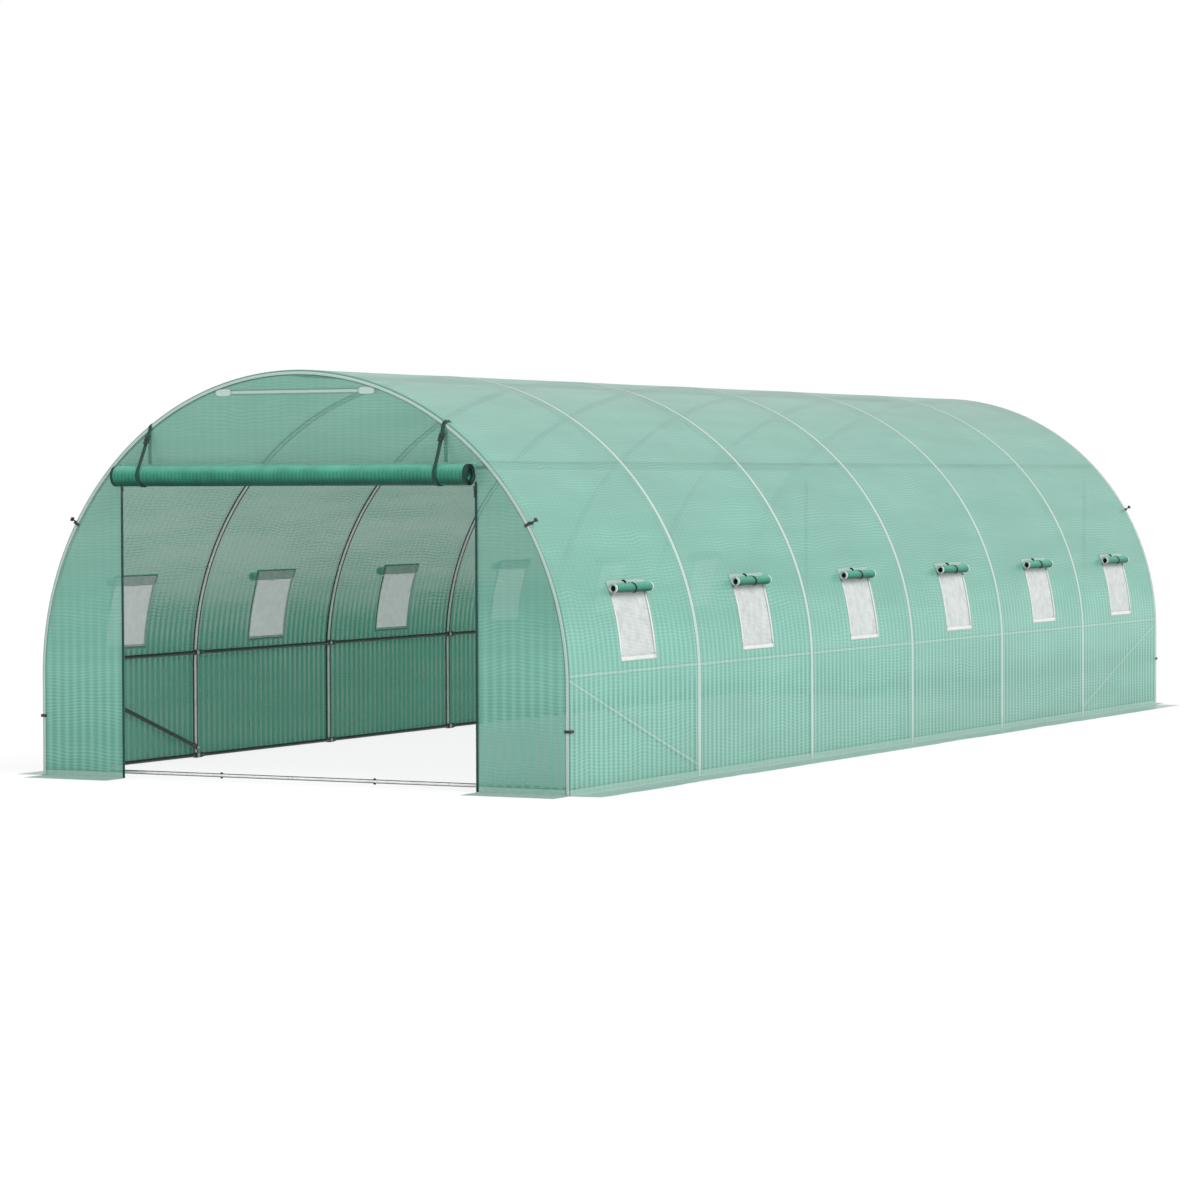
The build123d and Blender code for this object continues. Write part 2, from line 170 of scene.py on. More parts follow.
class PolytunnelFinishes(bpy.types.PropertyGroup):
    """Colours of the dressed pieces"""

    film: colour("Film", "Film between its threads", (0.205, 0.560, 0.445))
    film_thread: colour("Film thread", "Threads laid in the film", (0.310, 0.680, 0.575))
    film_deep: colour("Film low down", "Film between its threads near the ground", (0.055, 0.285, 0.205))
    film_lit: colour("Film lit through", "Film with the light behind it", (0.025, 0.26, 0.15))
    # Painted highlight: pale film over a tube behind it; also the colour towards which the flaps are made
    # paler
    film_pale: colour("Film on a tube", "Film pressed against a tube", (0.72, 0.88, 0.81))
    film_hem: colour("Film hem", "Hem along the foot of the film", (0.45, 0.72, 0.62))
    # Painted shade beside the tubes, which also draws the dark line along the top of the foot band
    film_edge: colour("Film edge", "Film beside a tube", (0.06, 0.23, 0.17))
    cover_low: share("Low cover", "How much of the view the film hides low down", 0.96)
    cover_arch: share("Arch cover", "How much of the view the arched film hides", 0.85)
    cover_gable: share("Gable cover", "How much of the view the upper front gable hides", 0.66)
    cover_rear: share("Rear cover", "How much of the view the upper rear gable hides", 0.90)
    cover_flap: share("Flap cover", "How much of the ground the flaps hide", 0.95)
    rolled: colour("Rolled film", "Several turns of film on each other", (0.034, 0.190, 0.130))
    # Painted light: the colour of a rolled sheet's upper side, where the light falls on it
    rolled_top: colour("Rolled film, lit", "Upper side of a rolled sheet", (0.125, 0.390, 0.295))
    binding: colour("Door binding", "Tape on the edges of the door", (0.018, 0.060, 0.047))
    steel: colour("Galvanised steel", "Zinc on the tie bars and bolts", (0.66, 0.68, 0.68))
    # Face colour of the hoops: partly their zinc, partly a painted highlight set against the painted rim
    # shade
    hoop: colour("Hoop steel", "Zinc on the hoops", (0.74, 0.73, 0.73))
    # Painted shade: the rails and braces are drawn dark because they stand in the shade inside the tunnel
    rail: colour("Rail steel", "Zinc on the rails and braces", (0.30, 0.31, 0.31))
    # Near-white face colour of the end rails: partly their zinc, partly a painted highlight set against the
    # painted rim shade
    end_rail: colour("End rail steel", "Bright zinc on the ground rails of the ends", (0.88, 0.88, 0.88))
    # Painted shade: the tubes' rims, where they turn away from the view
    tube_rim: colour("Tube rim", "Edge of a tube, where it turns away", (0.030, 0.034, 0.034))
    slider: colour("Zip slider", "Dark zinc on the zips' sliders", (0.07, 0.08, 0.08))
    grime: colour("Grime", "Dirt low down on the steel", (0.30, 0.28, 0.25))
    tape: colour("White tape", "Tape round the windows", (0.86, 0.87, 0.85))
    thread: colour("Thread", "Stitches in the tapes", (0.60, 0.66, 0.62))
    net: colour("Net", "Threads of the window nets", (0.60, 0.62, 0.62))
    strap: colour("Strap", "Webbing of the door's straps", (0.020, 0.080, 0.060))
    zip_tape: colour("Zip tape", "Tape of the door's zips", (0.018, 0.085, 0.066))
    black: colour("Black plastic", "Buckles, knobs and ties", (0.012, 0.014, 0.014))
    moulding: colour("White moulding", "Sockets of the tie bars", (0.82, 0.84, 0.83))


def sizes():
    return bpy.context.scene.polytunnel_sizes


def finishes():
    return bpy.context.scene.polytunnel_finishes


# Node building


def feed(tree, made, inputs):
    """Gives a node values or links for its inputs."""
    for key, value in inputs.items():
        if isinstance(value, bpy.types.NodeSocket):
            tree.links.new(value, made.inputs[key])
        else:
            made.inputs[key].default_value = value
    return made


def node(tree, kind, inputs=None, **settings):
    """Adds a node, with its settings and with values or links for its inputs."""
    made = tree.nodes.new(kind)
    for key, value in settings.items():
        setattr(made, key, value)
    return feed(tree, made, inputs or {})


def node_group(kind, name, inputs, outputs):
    """A new node group with its sockets, as its tree, the values given to it and its output node."""
    tree = bpy.data.node_groups.new(name, f"{kind}NodeTree")
    for label, socket_kind, value in inputs:
        socket = tree.interface.new_socket(label, in_out="INPUT", socket_type=f"NodeSocket{socket_kind}")
        if value is not None:
            socket.default_value = value
    for label, socket_kind in outputs:
        tree.interface.new_socket(label, in_out="OUTPUT", socket_type=f"NodeSocket{socket_kind}")
    return tree, tree.nodes.new("NodeGroupInput").outputs, tree.nodes.new("NodeGroupOutput")


def built_once(build):
    """Builds a node group, named after its function, when it is first used."""

    @wraps(build)
    def shared():
        name = build.__name__.replace("_", " ")
        if name not in bpy.data.node_groups:
            build(name)
        return bpy.data.node_groups[name]

    return shared


def calc(tree, operation, *values):
    """One sum of a Math node."""
    return node(tree, "ShaderNodeMath", dict(enumerate(values)), operation=operation).outputs[0]


def gap(tree, first, second):
    """How far two values lie apart."""
    return calc(tree, "ABSOLUTE", calc(tree, "SUBTRACT", first, second))


def ramp(tree, value, low, high, start=0.0, end=1.0):
    """A smooth step of a value from low to high."""
    inputs = {"Value": value, "From Min": low, "From Max": high, "To Min": start, "To Max": end}
    return node(tree, "ShaderNodeMapRange", inputs, interpolation_type="SMOOTHSTEP").outputs["Result"]


def tint(tree, factor, first, second, blend="MIX"):
    """A mix of two colours."""
    inputs = {0: factor, 6: first, 7: second}
    return node(tree, "ShaderNodeMix", inputs, data_type="RGBA", blend_type=blend).outputs[2]


def toned(tree, shade, tone):
    """A colour made lighter or darker by a tone."""
    return tint(tree, 1.0, shade, tone, "MULTIPLY")


def dimmed(hue, part):
    """A colour at a part of its brightness."""
    return [min(1.0, part * value) for value in hue[:3]] + [1.0]


def split(tree, place):
    """The X, Y and Z of a vector."""
    return node(tree, "ShaderNodeSeparateXYZ", {0: place}).outputs


def object_place(tree):
    return node(tree, "ShaderNodeTexCoord").outputs["Object"]


def surface_place(tree):
    return node(tree, "ShaderNodeUVMap", uv_map="UVMap").outputs["UV"]


def cloud(tree, place, scale, detail, roughness=0.5):
    """Soft noise over a surface."""
    inputs = {"Vector": place, "Scale": scale, "Detail": detail, "Roughness": roughness}
    return node(tree, "ShaderNodeTexNoise", inputs).outputs["Fac"]


def wave(tree, value, pitch, sharpness=1.0):
    """A soft line at each multiple of the pitch."""
    turned = calc(tree, "COSINE", calc(tree, "MULTIPLY", calc(tree, "DIVIDE", value, pitch), tau))
    return calc(tree, "POWER", calc(tree, "MULTIPLY_ADD", turned, 0.5, 0.5), sharpness)


# Shader groups for effects that several materials share


@built_once
def film_weave(name):
    """Strong threads across the film and fine ones along it, on a surface measured in metres."""
    inputs = [
        ("Vector", "Vector", None),
        ("Rib Pitch", "Float", 0.05),
        ("Streak Pitch", "Float", 0.0165),
        ("Rib Strength", "Float", 0.5),
    ]
    tree, given, end = node_group("Shader", name, inputs, [("Threads", "Float"), ("Height", "Float")])
    surface = given["Vector"]
    place = split(tree, surface)
    bent = calc(tree, "MULTIPLY_ADD", cloud(tree, surface, 2.3, 2.0), 0.10, place["Y"])
    ribs = wave(tree, place["X"], given["Rib Pitch"], 1.6)
    streaks = wave(tree, bent, given["Streak Pitch"], 1.3)
    stretch = {0: surface, 1: (0.7, 5.0, 1.0)}
    stretched = node(tree, "ShaderNodeVectorMath", stretch, operation="MULTIPLY").outputs[0]
    patches = ramp(tree, cloud(tree, stretched, 1.4, 3.0), 0.35, 0.65, 0.25, 1.0)
    streaks = calc(tree, "MULTIPLY", streaks, patches)
    threads = calc(tree, "MULTIPLY_ADD", ribs, given["Rib Strength"], calc(tree, "MULTIPLY", streaks, 0.5))
    fine_pitch = 0.0042
    fine = calc(tree, "MULTIPLY", wave(tree, place["X"], fine_pitch), wave(tree, place["Y"], fine_pitch))
    feed(tree, end, {"Threads": threads, "Height": calc(tree, "MULTIPLY_ADD", fine, 0.35, threads)})


@built_once
def tube_contact(name):
    """A pale band along a line and the darker edges on each side of it, from the distance to the line; over a
    tube the band is a painted highlight and the edges are painted shade.
    """
    inputs = [("Distance", "Float", 1.0), ("Half Width", "Float", 0.012), ("Shade", "Float", 0.009)]
    tree, given, end = node_group("Shader", name, inputs, [("Pale", "Float"), ("Edge", "Float")])
    distance = given["Distance"]
    inner = calc(tree, "SUBTRACT", given["Half Width"], 0.003)
    outer = calc(tree, "ADD", given["Half Width"], 0.001)
    far = calc(tree, "ADD", outer, given["Shade"])
    pale = ramp(tree, distance, inner, outer, 1.0, 0.0)
    rise = ramp(tree, distance, inner, outer)
    fall = ramp(tree, distance, outer, far, 1.0, 0.0)
    feed(tree, end, {"Pale": pale, "Edge": calc(tree, "MULTIPLY", rise, fall)})


@built_once
def weathering(name):
    """Slow changes of tone over a surface, with a little grime that gathers low down."""
    inputs = [
        ("Vector", "Vector", None),
        ("Scale", "Float", 3.0),
        ("Low", "Float", 0.9),
        ("High", "Float", 1.0),
    ]
    tree, given, end = node_group("Shader", name, inputs, [("Tone", "Float"), ("Grime", "Float")])
    broad = cloud(tree, given["Vector"], given["Scale"], 4.0, 0.6)
    limits = {"From Min": 0.3, "From Max": 0.7, "To Min": given["Low"], "To Max": given["High"]}
    tone = node(tree, "ShaderNodeMapRange", {"Value": broad, **limits}).outputs["Result"]
    low_down = ramp(tree, split(tree, given["Vector"])["Z"], 0.0, 0.22, 1.0, 0.0)
    feed(tree, end, {"Tone": tone, "Grime": calc(tree, "MULTIPLY", low_down, broad)})


@built_once
def webbing_weave(name):
    """Slanted yarns of woven tape, on a surface measured in metres."""
    inputs = [("Vector", "Vector", None), ("Pitch", "Float", 0.003)]
    tree, given, end = node_group("Shader", name, inputs, [("Yarn", "Float")])
    place, pitch = split(tree, given["Vector"]), given["Pitch"]
    fold = calc(tree, "PINGPONG", place["X"], calc(tree, "MULTIPLY", pitch, 1.5))
    slant = wave(tree, calc(tree, "ADD", place["Y"], fold), pitch)
    rib = calc(tree, "MULTIPLY_ADD", wave(tree, place["X"], pitch, 0.7), 0.6, 0.4)
    feed(tree, end, {"Yarn": calc(tree, "MULTIPLY", slant, rib)})


@built_once
def zinc_spangle(name):
    """Crystals of zinc on galvanised steel."""
    inputs = [("Vector", "Vector", None), ("Scale", "Float", 60.0)]
    tree, given, end = node_group("Shader", name, inputs, [("Tone", "Float"), ("Roughness", "Float")])
    cells = node(tree, "ShaderNodeTexVoronoi", {"Vector": given["Vector"], "Scale": given["Scale"]})
    grain = node(tree, "ShaderNodeSeparateColor", {0: cells.outputs["Color"]}).outputs["Red"]
    haze = cloud(tree, given["Vector"], 9.0, 3.0)
    tone = calc(tree, "MULTIPLY_ADD", grain, 0.16, calc(tree, "MULTIPLY_ADD", haze, 0.3, 0.72))
    roughness = calc(tree, "MULTIPLY_ADD", grain, 0.14, calc(tree, "MULTIPLY_ADD", haze, 0.25, 0.18))
    feed(tree, end, {"Tone": tone, "Roughness": roughness})


def effect(tree, group, inputs):
    """The outputs of a shared effect, with its own values."""
    return node(tree, "ShaderNodeGroup", inputs, node_tree=group).outputs


def worn(tree, scale, low, high):
    """The weathering of a piece."""
    inputs = {"Vector": object_place(tree), "Scale": scale, "Low": low, "High": high}
    return effect(tree, weathering(), inputs)


# Distances on the film to the tubes and hems that show on it


def hoop_distance(tree, place):
    """Distance to the nearest hoop's line, which shows narrower on the turned edges of both ends."""
    to_rear = calc(tree, "SUBTRACT", SPAN, place["X"])
    nearest = calc(tree, "PINGPONG", place["X"], BAY / 2)
    for inward, line, narrower in ((place["X"], -0.0205, 0.0110), (to_rear, 0.0130, 0.0065)):
        on_edge = calc(tree, "ADD", gap(tree, inward, line), narrower)
        near_end = calc(tree, "LESS_THAN", inward, 0.05)
        nearest = calc(tree, "MULTIPLY_ADD", near_end, calc(tree, "SUBTRACT", on_edge, nearest), nearest)
    return nearest


def foot_distance(tree, place):
    """Height over the ground, on the walls of the arched film or on a gable."""
    return calc(tree, "MINIMUM", place["Y"], calc(tree, "SUBTRACT", arch_length(), place["Y"]))


def rail_distance(tree, place):
    """Distance to the nearest side rail or brace, with the tunnel folded onto one of its corners."""
    inward = calc(tree, "MINIMUM", place["X"], calc(tree, "SUBTRACT", SPAN, place["X"]))
    height = foot_distance(tree, place)
    drop = BRACE_TOP - BRACE_FOOT
    slant = hypot(BAY, drop)
    above = calc(tree, "MULTIPLY", calc(tree, "SUBTRACT", height, BRACE_TOP), BAY / slant)
    brace = calc(tree, "ABSOLUTE", calc(tree, "MULTIPLY_ADD", inward, drop / slant, above))
    brace = calc(tree, "ADD", brace, calc(tree, "GREATER_THAN", inward, BAY))
    rail_shows_low = 0.006
    rail = sizes().leg_height + sizes().rail_rise - rail_shows_low
    return calc(tree, "MINIMUM", brace, gap(tree, height, rail))


def purlin_distance(tree, place):
    """Distance to the nearest upper purlin, which shows a little low through the film."""
    purlin = sizes().leg_height + radians(44.6) * sizes().hoop_radius
    return gap(tree, foot_distance(tree, place), purlin)


def tie_offset(tree, place):
    """Distances from a tie bar's middle, along it and up, in the plane of a gable."""
    return calc(tree, "ABSOLUTE", place["X"]), gap(tree, place["Y"], TIE_HEIGHT)


def tie_distance(tree, place):
    """Distance to the tie bar between its sockets."""
    across, rise = tie_offset(tree, place)
    beyond = calc(tree, "MAXIMUM", calc(tree, "SUBTRACT", across, SOCKET_LOW), 0.0)
    return calc(tree, "ADD", rise, beyond)


def socket_distance(tree, place):
    """Distance to the middle line of a tie bar's socket, which is longer than it is high."""
    across, rise = tie_offset(tree, place)
    half = SOCKET_LENGTH / 2
    aside = calc(tree, "MULTIPLY", gap(tree, across, SOCKET_LOW + half), SOCKET_HALF_HEIGHT / half)
    fourth_powers = calc(tree, "ADD", calc(tree, "POWER", aside, 4.0), calc(tree, "POWER", rise, 4.0))
    return calc(tree, "POWER", fourth_powers, 0.25)


def rim_distance(tree, place):
    """Distance to the end hoop, in the plane of a gable."""
    rise = calc(tree, "MAXIMUM", calc(tree, "SUBTRACT", place["Y"], sizes().leg_height), 0.0)
    across = calc(tree, "ABSOLUTE", place["X"])
    squares = calc(tree, "ADD", calc(tree, "POWER", across, 2.0), calc(tree, "POWER", rise, 2.0))
    return calc(tree, "SUBTRACT", sizes().hoop_radius, calc(tree, "SQRT", squares))


# A mark on the film: its distance function, half its width, the width of the shade beside it, the strength of
# both, and its colour; over the tubes the pale mark is a painted highlight and the shade beside it is painted
# shade
Mark = namedtuple("Mark", "distance half_width shade pale_share edge_share hue")


# Materials


def painted_once(paint):
    """Paints a material under the given name when it is first used."""

    @wraps(paint)
    def shared(name, *values, **settings):
        if name not in bpy.data.materials:
            material = bpy.data.materials.new(name)
            material.use_nodes = True
            tree = material.node_tree
            paint(tree, tree.nodes["Principled BSDF"], *values, **settings)
        return bpy.data.materials[name]

    return shared


def bump(tree, height, strength, distance):
    """A surface's direction with small bumps on it."""
    inputs = {"Height": height, "Strength": strength, "Distance": distance}
    return node(tree, "ShaderNodeBump", inputs).outputs["Normal"]


def show(tree, shader):
    """Sends a shader to the material's surface."""
    feed(tree, tree.nodes["Material Output"], {"Surface": shader.outputs[0]})


@painted_once
def film_material(tree, shader, marks=(), ribs=(0.7, 0.12), pale=0.0, cover=(0.9, 0.88)):
    """Woven film that lets some light and some of the view through, with pale marks and darker edges along
    the tubes behind it, which are painted highlight and painted shade.

    The ribs' strength and the share of the view that is hidden are given low down and high up.
    """
    paint, size = finishes(), sizes()
    inner_shade, thread_cover, open_share, glow = 0.26, 0.20, 0.07, 0.34
    surface = surface_place(tree)
    height = split(tree, object_place(tree))["Z"]
    weave = effect(
        tree,
        film_weave(),
        {
            "Vector": surface,
            "Rib Pitch": size.rib_pitch,
            "Streak Pitch": size.streak_pitch,
            "Rib Strength": ramp(tree, height, 0.45, 1.0, *ribs),
        },
    )
    inner_face = node(tree, "ShaderNodeNewGeometry").outputs["Backfacing"]
    outer_face = calc(tree, "SUBTRACT", 1.0, inner_face)
    ground, thread = [
        [value + pale * (paler - value) for value, paler in zip(hue, paint.film_pale)]
        for hue in (paint.film, paint.film_thread)
    ]
    low_down = calc(tree, "MULTIPLY", ramp(tree, height, 0.30, 0.62, 1.0, 0.0), 0.75 * ribs[0])
    shade = tint(tree, low_down, ground, paint.film_deep[:])
    shade = tint(tree, weave["Threads"], shade, thread)
    # Painted shade: the film's inner face is drawn darker
    inner_face_shade = calc(tree, "MULTIPLY_ADD", inner_face, -inner_shade, 1.0)
    shade = toned(tree, shade, calc(tree, "MULTIPLY", worn(tree, 1.7, 0.93, 1.05)["Tone"], inner_face_shade))
    hidden = calc(tree, "SUBTRACT", ramp(tree, height, 0.5, 1.2, *cover), open_share)
    hidden = calc(tree, "MULTIPLY_ADD", weave["Threads"], thread_cover, hidden)
    place = split(tree, surface)
    # Over tubes, a mark's pale band is a painted highlight of the tube behind the film, and its darker edges
    # are painted shade
    for mark in marks:
        sizes_of_mark = {
            "Distance": mark.distance(tree, place),
            "Half Width": mark.half_width,
            "Shade": mark.shade,
        }
        touch = effect(tree, tube_contact(), sizes_of_mark)
        edge = calc(tree, "MULTIPLY", touch["Edge"], outer_face)
        pale_band = calc(tree, "MULTIPLY", touch["Pale"], outer_face)
        shade = tint(tree, calc(tree, "MULTIPLY", edge, mark.edge_share), shade, paint.film_edge[:])
        shade = tint(tree, calc(tree, "MULTIPLY", pale_band, mark.pale_share), shade, mark.hue[:])
        blocked = calc(tree, "MULTIPLY", pale_band, 0.5 + 0.5 * mark.pale_share)
        hidden = calc(tree, "MAXIMUM", hidden, blocked)
    feed(
        tree,
        shader,
        {
            "Base Color": shade,
            "Roughness": calc(tree, "MULTIPLY_ADD", inner_face, 0.3, 0.33),
            "Coat Weight": calc(tree, "MULTIPLY_ADD", inner_face, -0.85, 0.85),
            "Coat Roughness": 0.3,
            "Specular IOR Level": 0.5,
            "Normal": bump(tree, weave["Height"], 0.25, 0.0012),
        },
    )
    back = node(tree, "ShaderNodeBsdfTranslucent", {"Color": paint.film_lit[:]})
    body = node(tree, "ShaderNodeMixShader", {0: glow, 1: shader.outputs[0], 2: back.outputs[0]})
    clear = node(tree, "ShaderNodeBsdfTransparent")
    show(tree, node(tree, "ShaderNodeMixShader", {0: hidden, 1: clear.outputs[0], 2: body.outputs[0]}))


@painted_once
def rolled_material(tree, shader, lit_share):
    """Film rolled up on itself, so that nothing shows through, with painted light on its upper side and
    painted shade underneath.
    """
    paint = finishes()
    threads = {"Rib Pitch": 0.021, "Streak Pitch": 0.0105, "Rib Strength": 0.55}
    weave = effect(tree, film_weave(), {"Vector": surface_place(tree), **threads})
    shade = tint(tree, weave["Threads"], paint.rolled[:], dimmed(paint.rolled, 1.7))
    # Painted light where the roll faces up, and painted shade where it faces down
    facing_up = split(tree, node(tree, "ShaderNodeTexCoord").outputs["Normal"])["Z"]
    shade = tint(tree, ramp(tree, facing_up, 0.0, 0.95, 0.0, lit_share), shade, paint.rolled_top[:])
    shade = tint(tree, ramp(tree, facing_up, -0.9, 0.1, 0.9, 0.0), shade, dimmed(paint.rolled, 0.28))
    feed(
        tree,
        shader,
        {
            "Base Color": toned(tree, shade, worn(tree, 9.0, 0.82, 1.12)["Tone"]),
            "Roughness": calc(tree, "MULTIPLY_ADD", weave["Threads"], 0.12, 0.30),
            "Specular IOR Level": 0.05,
            "Normal": bump(tree, weave["Height"], 0.35, 0.0015),
        },
    )


@painted_once
def tape_material(tree, shader, hue, pitch=0.003, roughness=0.62, low=0.86):
    """Woven tape or webbing."""
    yarn = effect(tree, webbing_weave(), {"Vector": surface_place(tree), "Pitch": pitch})["Yarn"]
    shade = tint(tree, yarn, dimmed(hue, 0.62), hue[:])
    feed(
        tree,
        shader,
        {
            "Base Color": toned(tree, shade, worn(tree, 14.0, low, 1.04)["Tone"]),
            "Roughness": calc(tree, "MULTIPLY_ADD", yarn, -0.12, roughness),
            "Specular IOR Level": 0.2,
            "Normal": bump(tree, yarn, 0.5, 0.0008),
        },
    )


@painted_once
def net_material(tree, shader):
    """Fine insect net: threads with open squares between them."""
    place = split(tree, surface_place(tree))
    mesh_pitch, sharpness = 0.0065, 1.2
    across = wave(tree, place["X"], mesh_pitch, sharpness)
    up = wave(tree, place["Y"], mesh_pitch, sharpness)
    thread = calc(tree, "MAXIMUM", across, up)
    feed(
        tree,
        shader,
        {
            "Base Color": toned(tree, finishes().net[:], worn(tree, 22.0, 0.85, 1.1)["Tone"]),
            "Alpha": ramp(tree, thread, 0.15, 0.75, 0.48, 0.90),
            "Roughness": 0.75,
            "Normal": bump(tree, thread, 0.4, 0.0006),
        },
    )


@painted_once
def steel_material(tree, shader, hue, scale):
    """Galvanised steel with its zinc crystals and a duller foot."""
    zinc = effect(tree, zinc_spangle(), {"Vector": object_place(tree), "Scale": scale})
    wear = worn(tree, 6.0, 0.88, 1.05)
    shade = toned(tree, toned(tree, hue[:], zinc["Tone"]), wear["Tone"])
    shade = tint(tree, calc(tree, "MULTIPLY", wear["Grime"], 0.5), shade, finishes().grime[:])
    feed(tree, shader, {"Base Color": shade, "Roughness": zinc["Roughness"], "Metallic": 0.85})


@painted_once
def tube_material(tree, shader, hue, rim_start, rim_end):
    """Zinc on a smooth tube, with painted shade that darkens it towards its rims, so that its middle reads as
    a highlight.
    """
    zinc = effect(tree, zinc_spangle(), {"Vector": object_place(tree), "Scale": 90.0})
    facing = node(tree, "ShaderNodeLayerWeight", {"Blend": 0.5}).outputs["Facing"]
    shade = tint(tree, ramp(tree, facing, rim_start, rim_end), hue[:], finishes().tube_rim[:])
    shade = toned(tree, shade, zinc["Tone"])
    feed(tree, shader, {"Base Color": shade, "Roughness": zinc["Roughness"], "Metallic": 0.35})


@painted_once
def plastic_material(tree, shader, hue, roughness=0.42):
    """Moulded plastic with a fine grain."""
    grain = cloud(tree, object_place(tree), 900.0, 2.0)
    feed(
        tree,
        shader,
        {
            "Base Color": toned(tree, hue[:], worn(tree, 30.0, 0.88, 1.03)["Tone"]),
            "Roughness": calc(tree, "MULTIPLY_ADD", grain, 0.2, roughness - 0.1),
            "Normal": bump(tree, grain, 0.12, 0.0004),
        },
    )


def black_plastic():
    return plastic_material("black plastic", finishes().black)


def seen(tree):
    """1 for rays on which the white surroundings are looked at."""
    path = node(tree, "ShaderNodeLightPath").outputs
    looked_at = calc(tree, "MAXIMUM", path["Is Camera Ray"], path["Is Glossy Ray"])
    return calc(tree, "MAXIMUM", looked_at, path["Is Transmission Ray"])


@painted_once
def floor_material(tree, shader):
    """A white floor that keeps the tunnel's shadow."""
    feed(tree, shader, {"Base Color": (0.86, 0.86, 0.86, 1.0), "Roughness": 0.9, "Specular IOR Level": 0.1})
    glow = node(tree, "ShaderNodeEmission", {"Color": (1, 1, 1, 1), "Strength": 1.04})
    bright = calc(tree, "MULTIPLY", seen(tree), 0.82)
    show(tree, node(tree, "ShaderNodeMixShader", {0: bright, 1: shader.outputs[0], 2: glow.outputs[0]}))


# Mesh building


def placed(name, data):
    """A new object in the scene."""
    made = bpy.data.objects.new(name, data)
    bpy.context.scene.collection.objects.link(made)
    return made


def mesh_piece(name, points, faces, materials, surface=None, choice=None, smooth=True):
    """A new object at the origin from points and faces, with a surface map in metres."""
    mesh = bpy.data.meshes.new(name)
    mesh.from_pydata([tuple(point) for point in points], [], faces)
    for material in materials:
        mesh.materials.append(material)
    if surface:
        layer = mesh.uv_layers.new(name="UVMap")
        for loop in mesh.loops:
            layer.data[loop.index].uv = surface[loop.vertex_index]
    for polygon in mesh.polygons:
        polygon.use_smooth = smooth
        if choice:
            polygon.material_index = choice[polygon.index]
    return placed(name, mesh)


def grid(rows, surface, keep=None, pick=None, turned=False):
    """Points, faces, surface places and material choices of a sheet of rows and columns."""
    points = [point for row in rows for point in row]
    places = [place for row in surface for place in row]
    wide = len(rows[0])
    faces, choice = [], []
    for i in range(len(rows) - 1):
        for j in range(wide - 1):
            if keep and not keep(i, j):
                continue
            first = i * wide + j
            face = (first, first + wide, first + wide + 1, first + 1)
            faces.append(face[::-1] if turned else face)
            choice.append(pick(i, j) if pick else 0)
    return points, faces, places, choice


def sheet_piece(name, rows, surface, materials, **settings):
    """A new object from the rows of a sheet."""
    points, faces, places, choice = grid(rows, surface, **settings)
    return mesh_piece(name, points, faces, materials, places, choice)


def joined_piece(name, parts, material):
    """A new object from several (points, faces, surface) sets."""
    points, faces, surface = [], [], []
    for more_points, more_faces, more_surface in parts:
        start = len(points)
        points += more_points
        surface += more_surface
        faces += [tuple(start + corner for corner in face) for face in more_faces]
    return mesh_piece(name, points, faces, [material], surface)


def dress(piece, slot, *nodes):
    """Puts a finished piece on the frame, in place of CAD nodes where it stands for them."""
    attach(piece, "root")
    if nodes:
        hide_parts(*nodes)
    return piece


def reworked(piece, change):
    """Makes a change to a piece's mesh."""
    work = bmesh.new()
    work.from_mesh(piece.data)
    change(work)
    work.to_mesh(piece.data)
    work.free()
    return piece


def drop_loose(work):
    """Deletes points that no face uses."""
    bmesh.ops.delete(work, geom=[vert for vert in work.verts if not vert.link_faces], context="VERTS")


def merge_doubles(work):
    """Joins the points along the seams between strips."""
    bmesh.ops.remove_doubles(work, verts=work.verts, dist=0.0002)


def outward(piece):
    """Turns a closed mesh's faces outwards."""
    return reworked(piece, lambda work: bmesh.ops.recalc_face_normals(work, faces=work.faces))


def thicken(piece, thickness, offset=1.0):
    made = piece.modifiers.new("Thickness", "SOLIDIFY")
    made.thickness = thickness
    made.offset = offset
    return piece


def bevel(piece, width):
    made = piece.modifiers.new("Rounded edges", "BEVEL")
    made.width = width
    made.segments = 2
    made.limit_method = "ANGLE"
    return piece


def between(low, high, count):
    """Even steps from low to high, both included."""
    return [low + (high - low) * index / count for index in range(count + 1)]


def arch(v):
    """Place on a hoop's line and its outward direction, at a distance along it from the left foot."""
    size = sizes()
    bent = pi * size.hoop_radius
    if v <= size.leg_height:
        return Vector((-size.hoop_radius, 0, v)), -ACROSS
    if v >= size.leg_height + bent:
        return Vector((size.hoop_radius, 0, 2 * size.leg_height + bent - v)), ACROSS
    angle = pi - (v - size.leg_height) / size.hoop_radius
    out = Vector((cos(angle), 0, sin(angle)))
    return size.leg_height * UPWARD + size.hoop_radius * out, out


def arch_length():
    return 2 * sizes().leg_height + pi * sizes().hoop_radius


def along_arch(angle):
    """Distance along a hoop's line to an angle on its bend, measured from the right."""
    return sizes().leg_height + (pi - angle) * sizes().hoop_radius


def film_lift(v, y):
    """The film's distance from the hoop's line."""
    size = sizes()
    share_of_bay = (y - HOOP_Y[0]) / BAY % 1.0
    slack = 4 * share_of_bay * (1 - share_of_bay)
    ripple = noise.noise(Vector((2.1 * v, 1.3 * y, 0.4)))
    ripple += 0.5 * noise.noise(Vector((5.0 * v, 2.2 * y, 7.7)))
    level = 1.0 - 0.7 * max(0.0, sin(pi * v / arch_length())) ** 4
    return size.film_stand - slack * level * (size.film_sag + 0.0022 * ripple)


def on_film(v, y, lift):
    """A point above the film."""
    place, out = arch(v)
    return place + (film_lift(v, y) + lift) * out + y * FORWARD


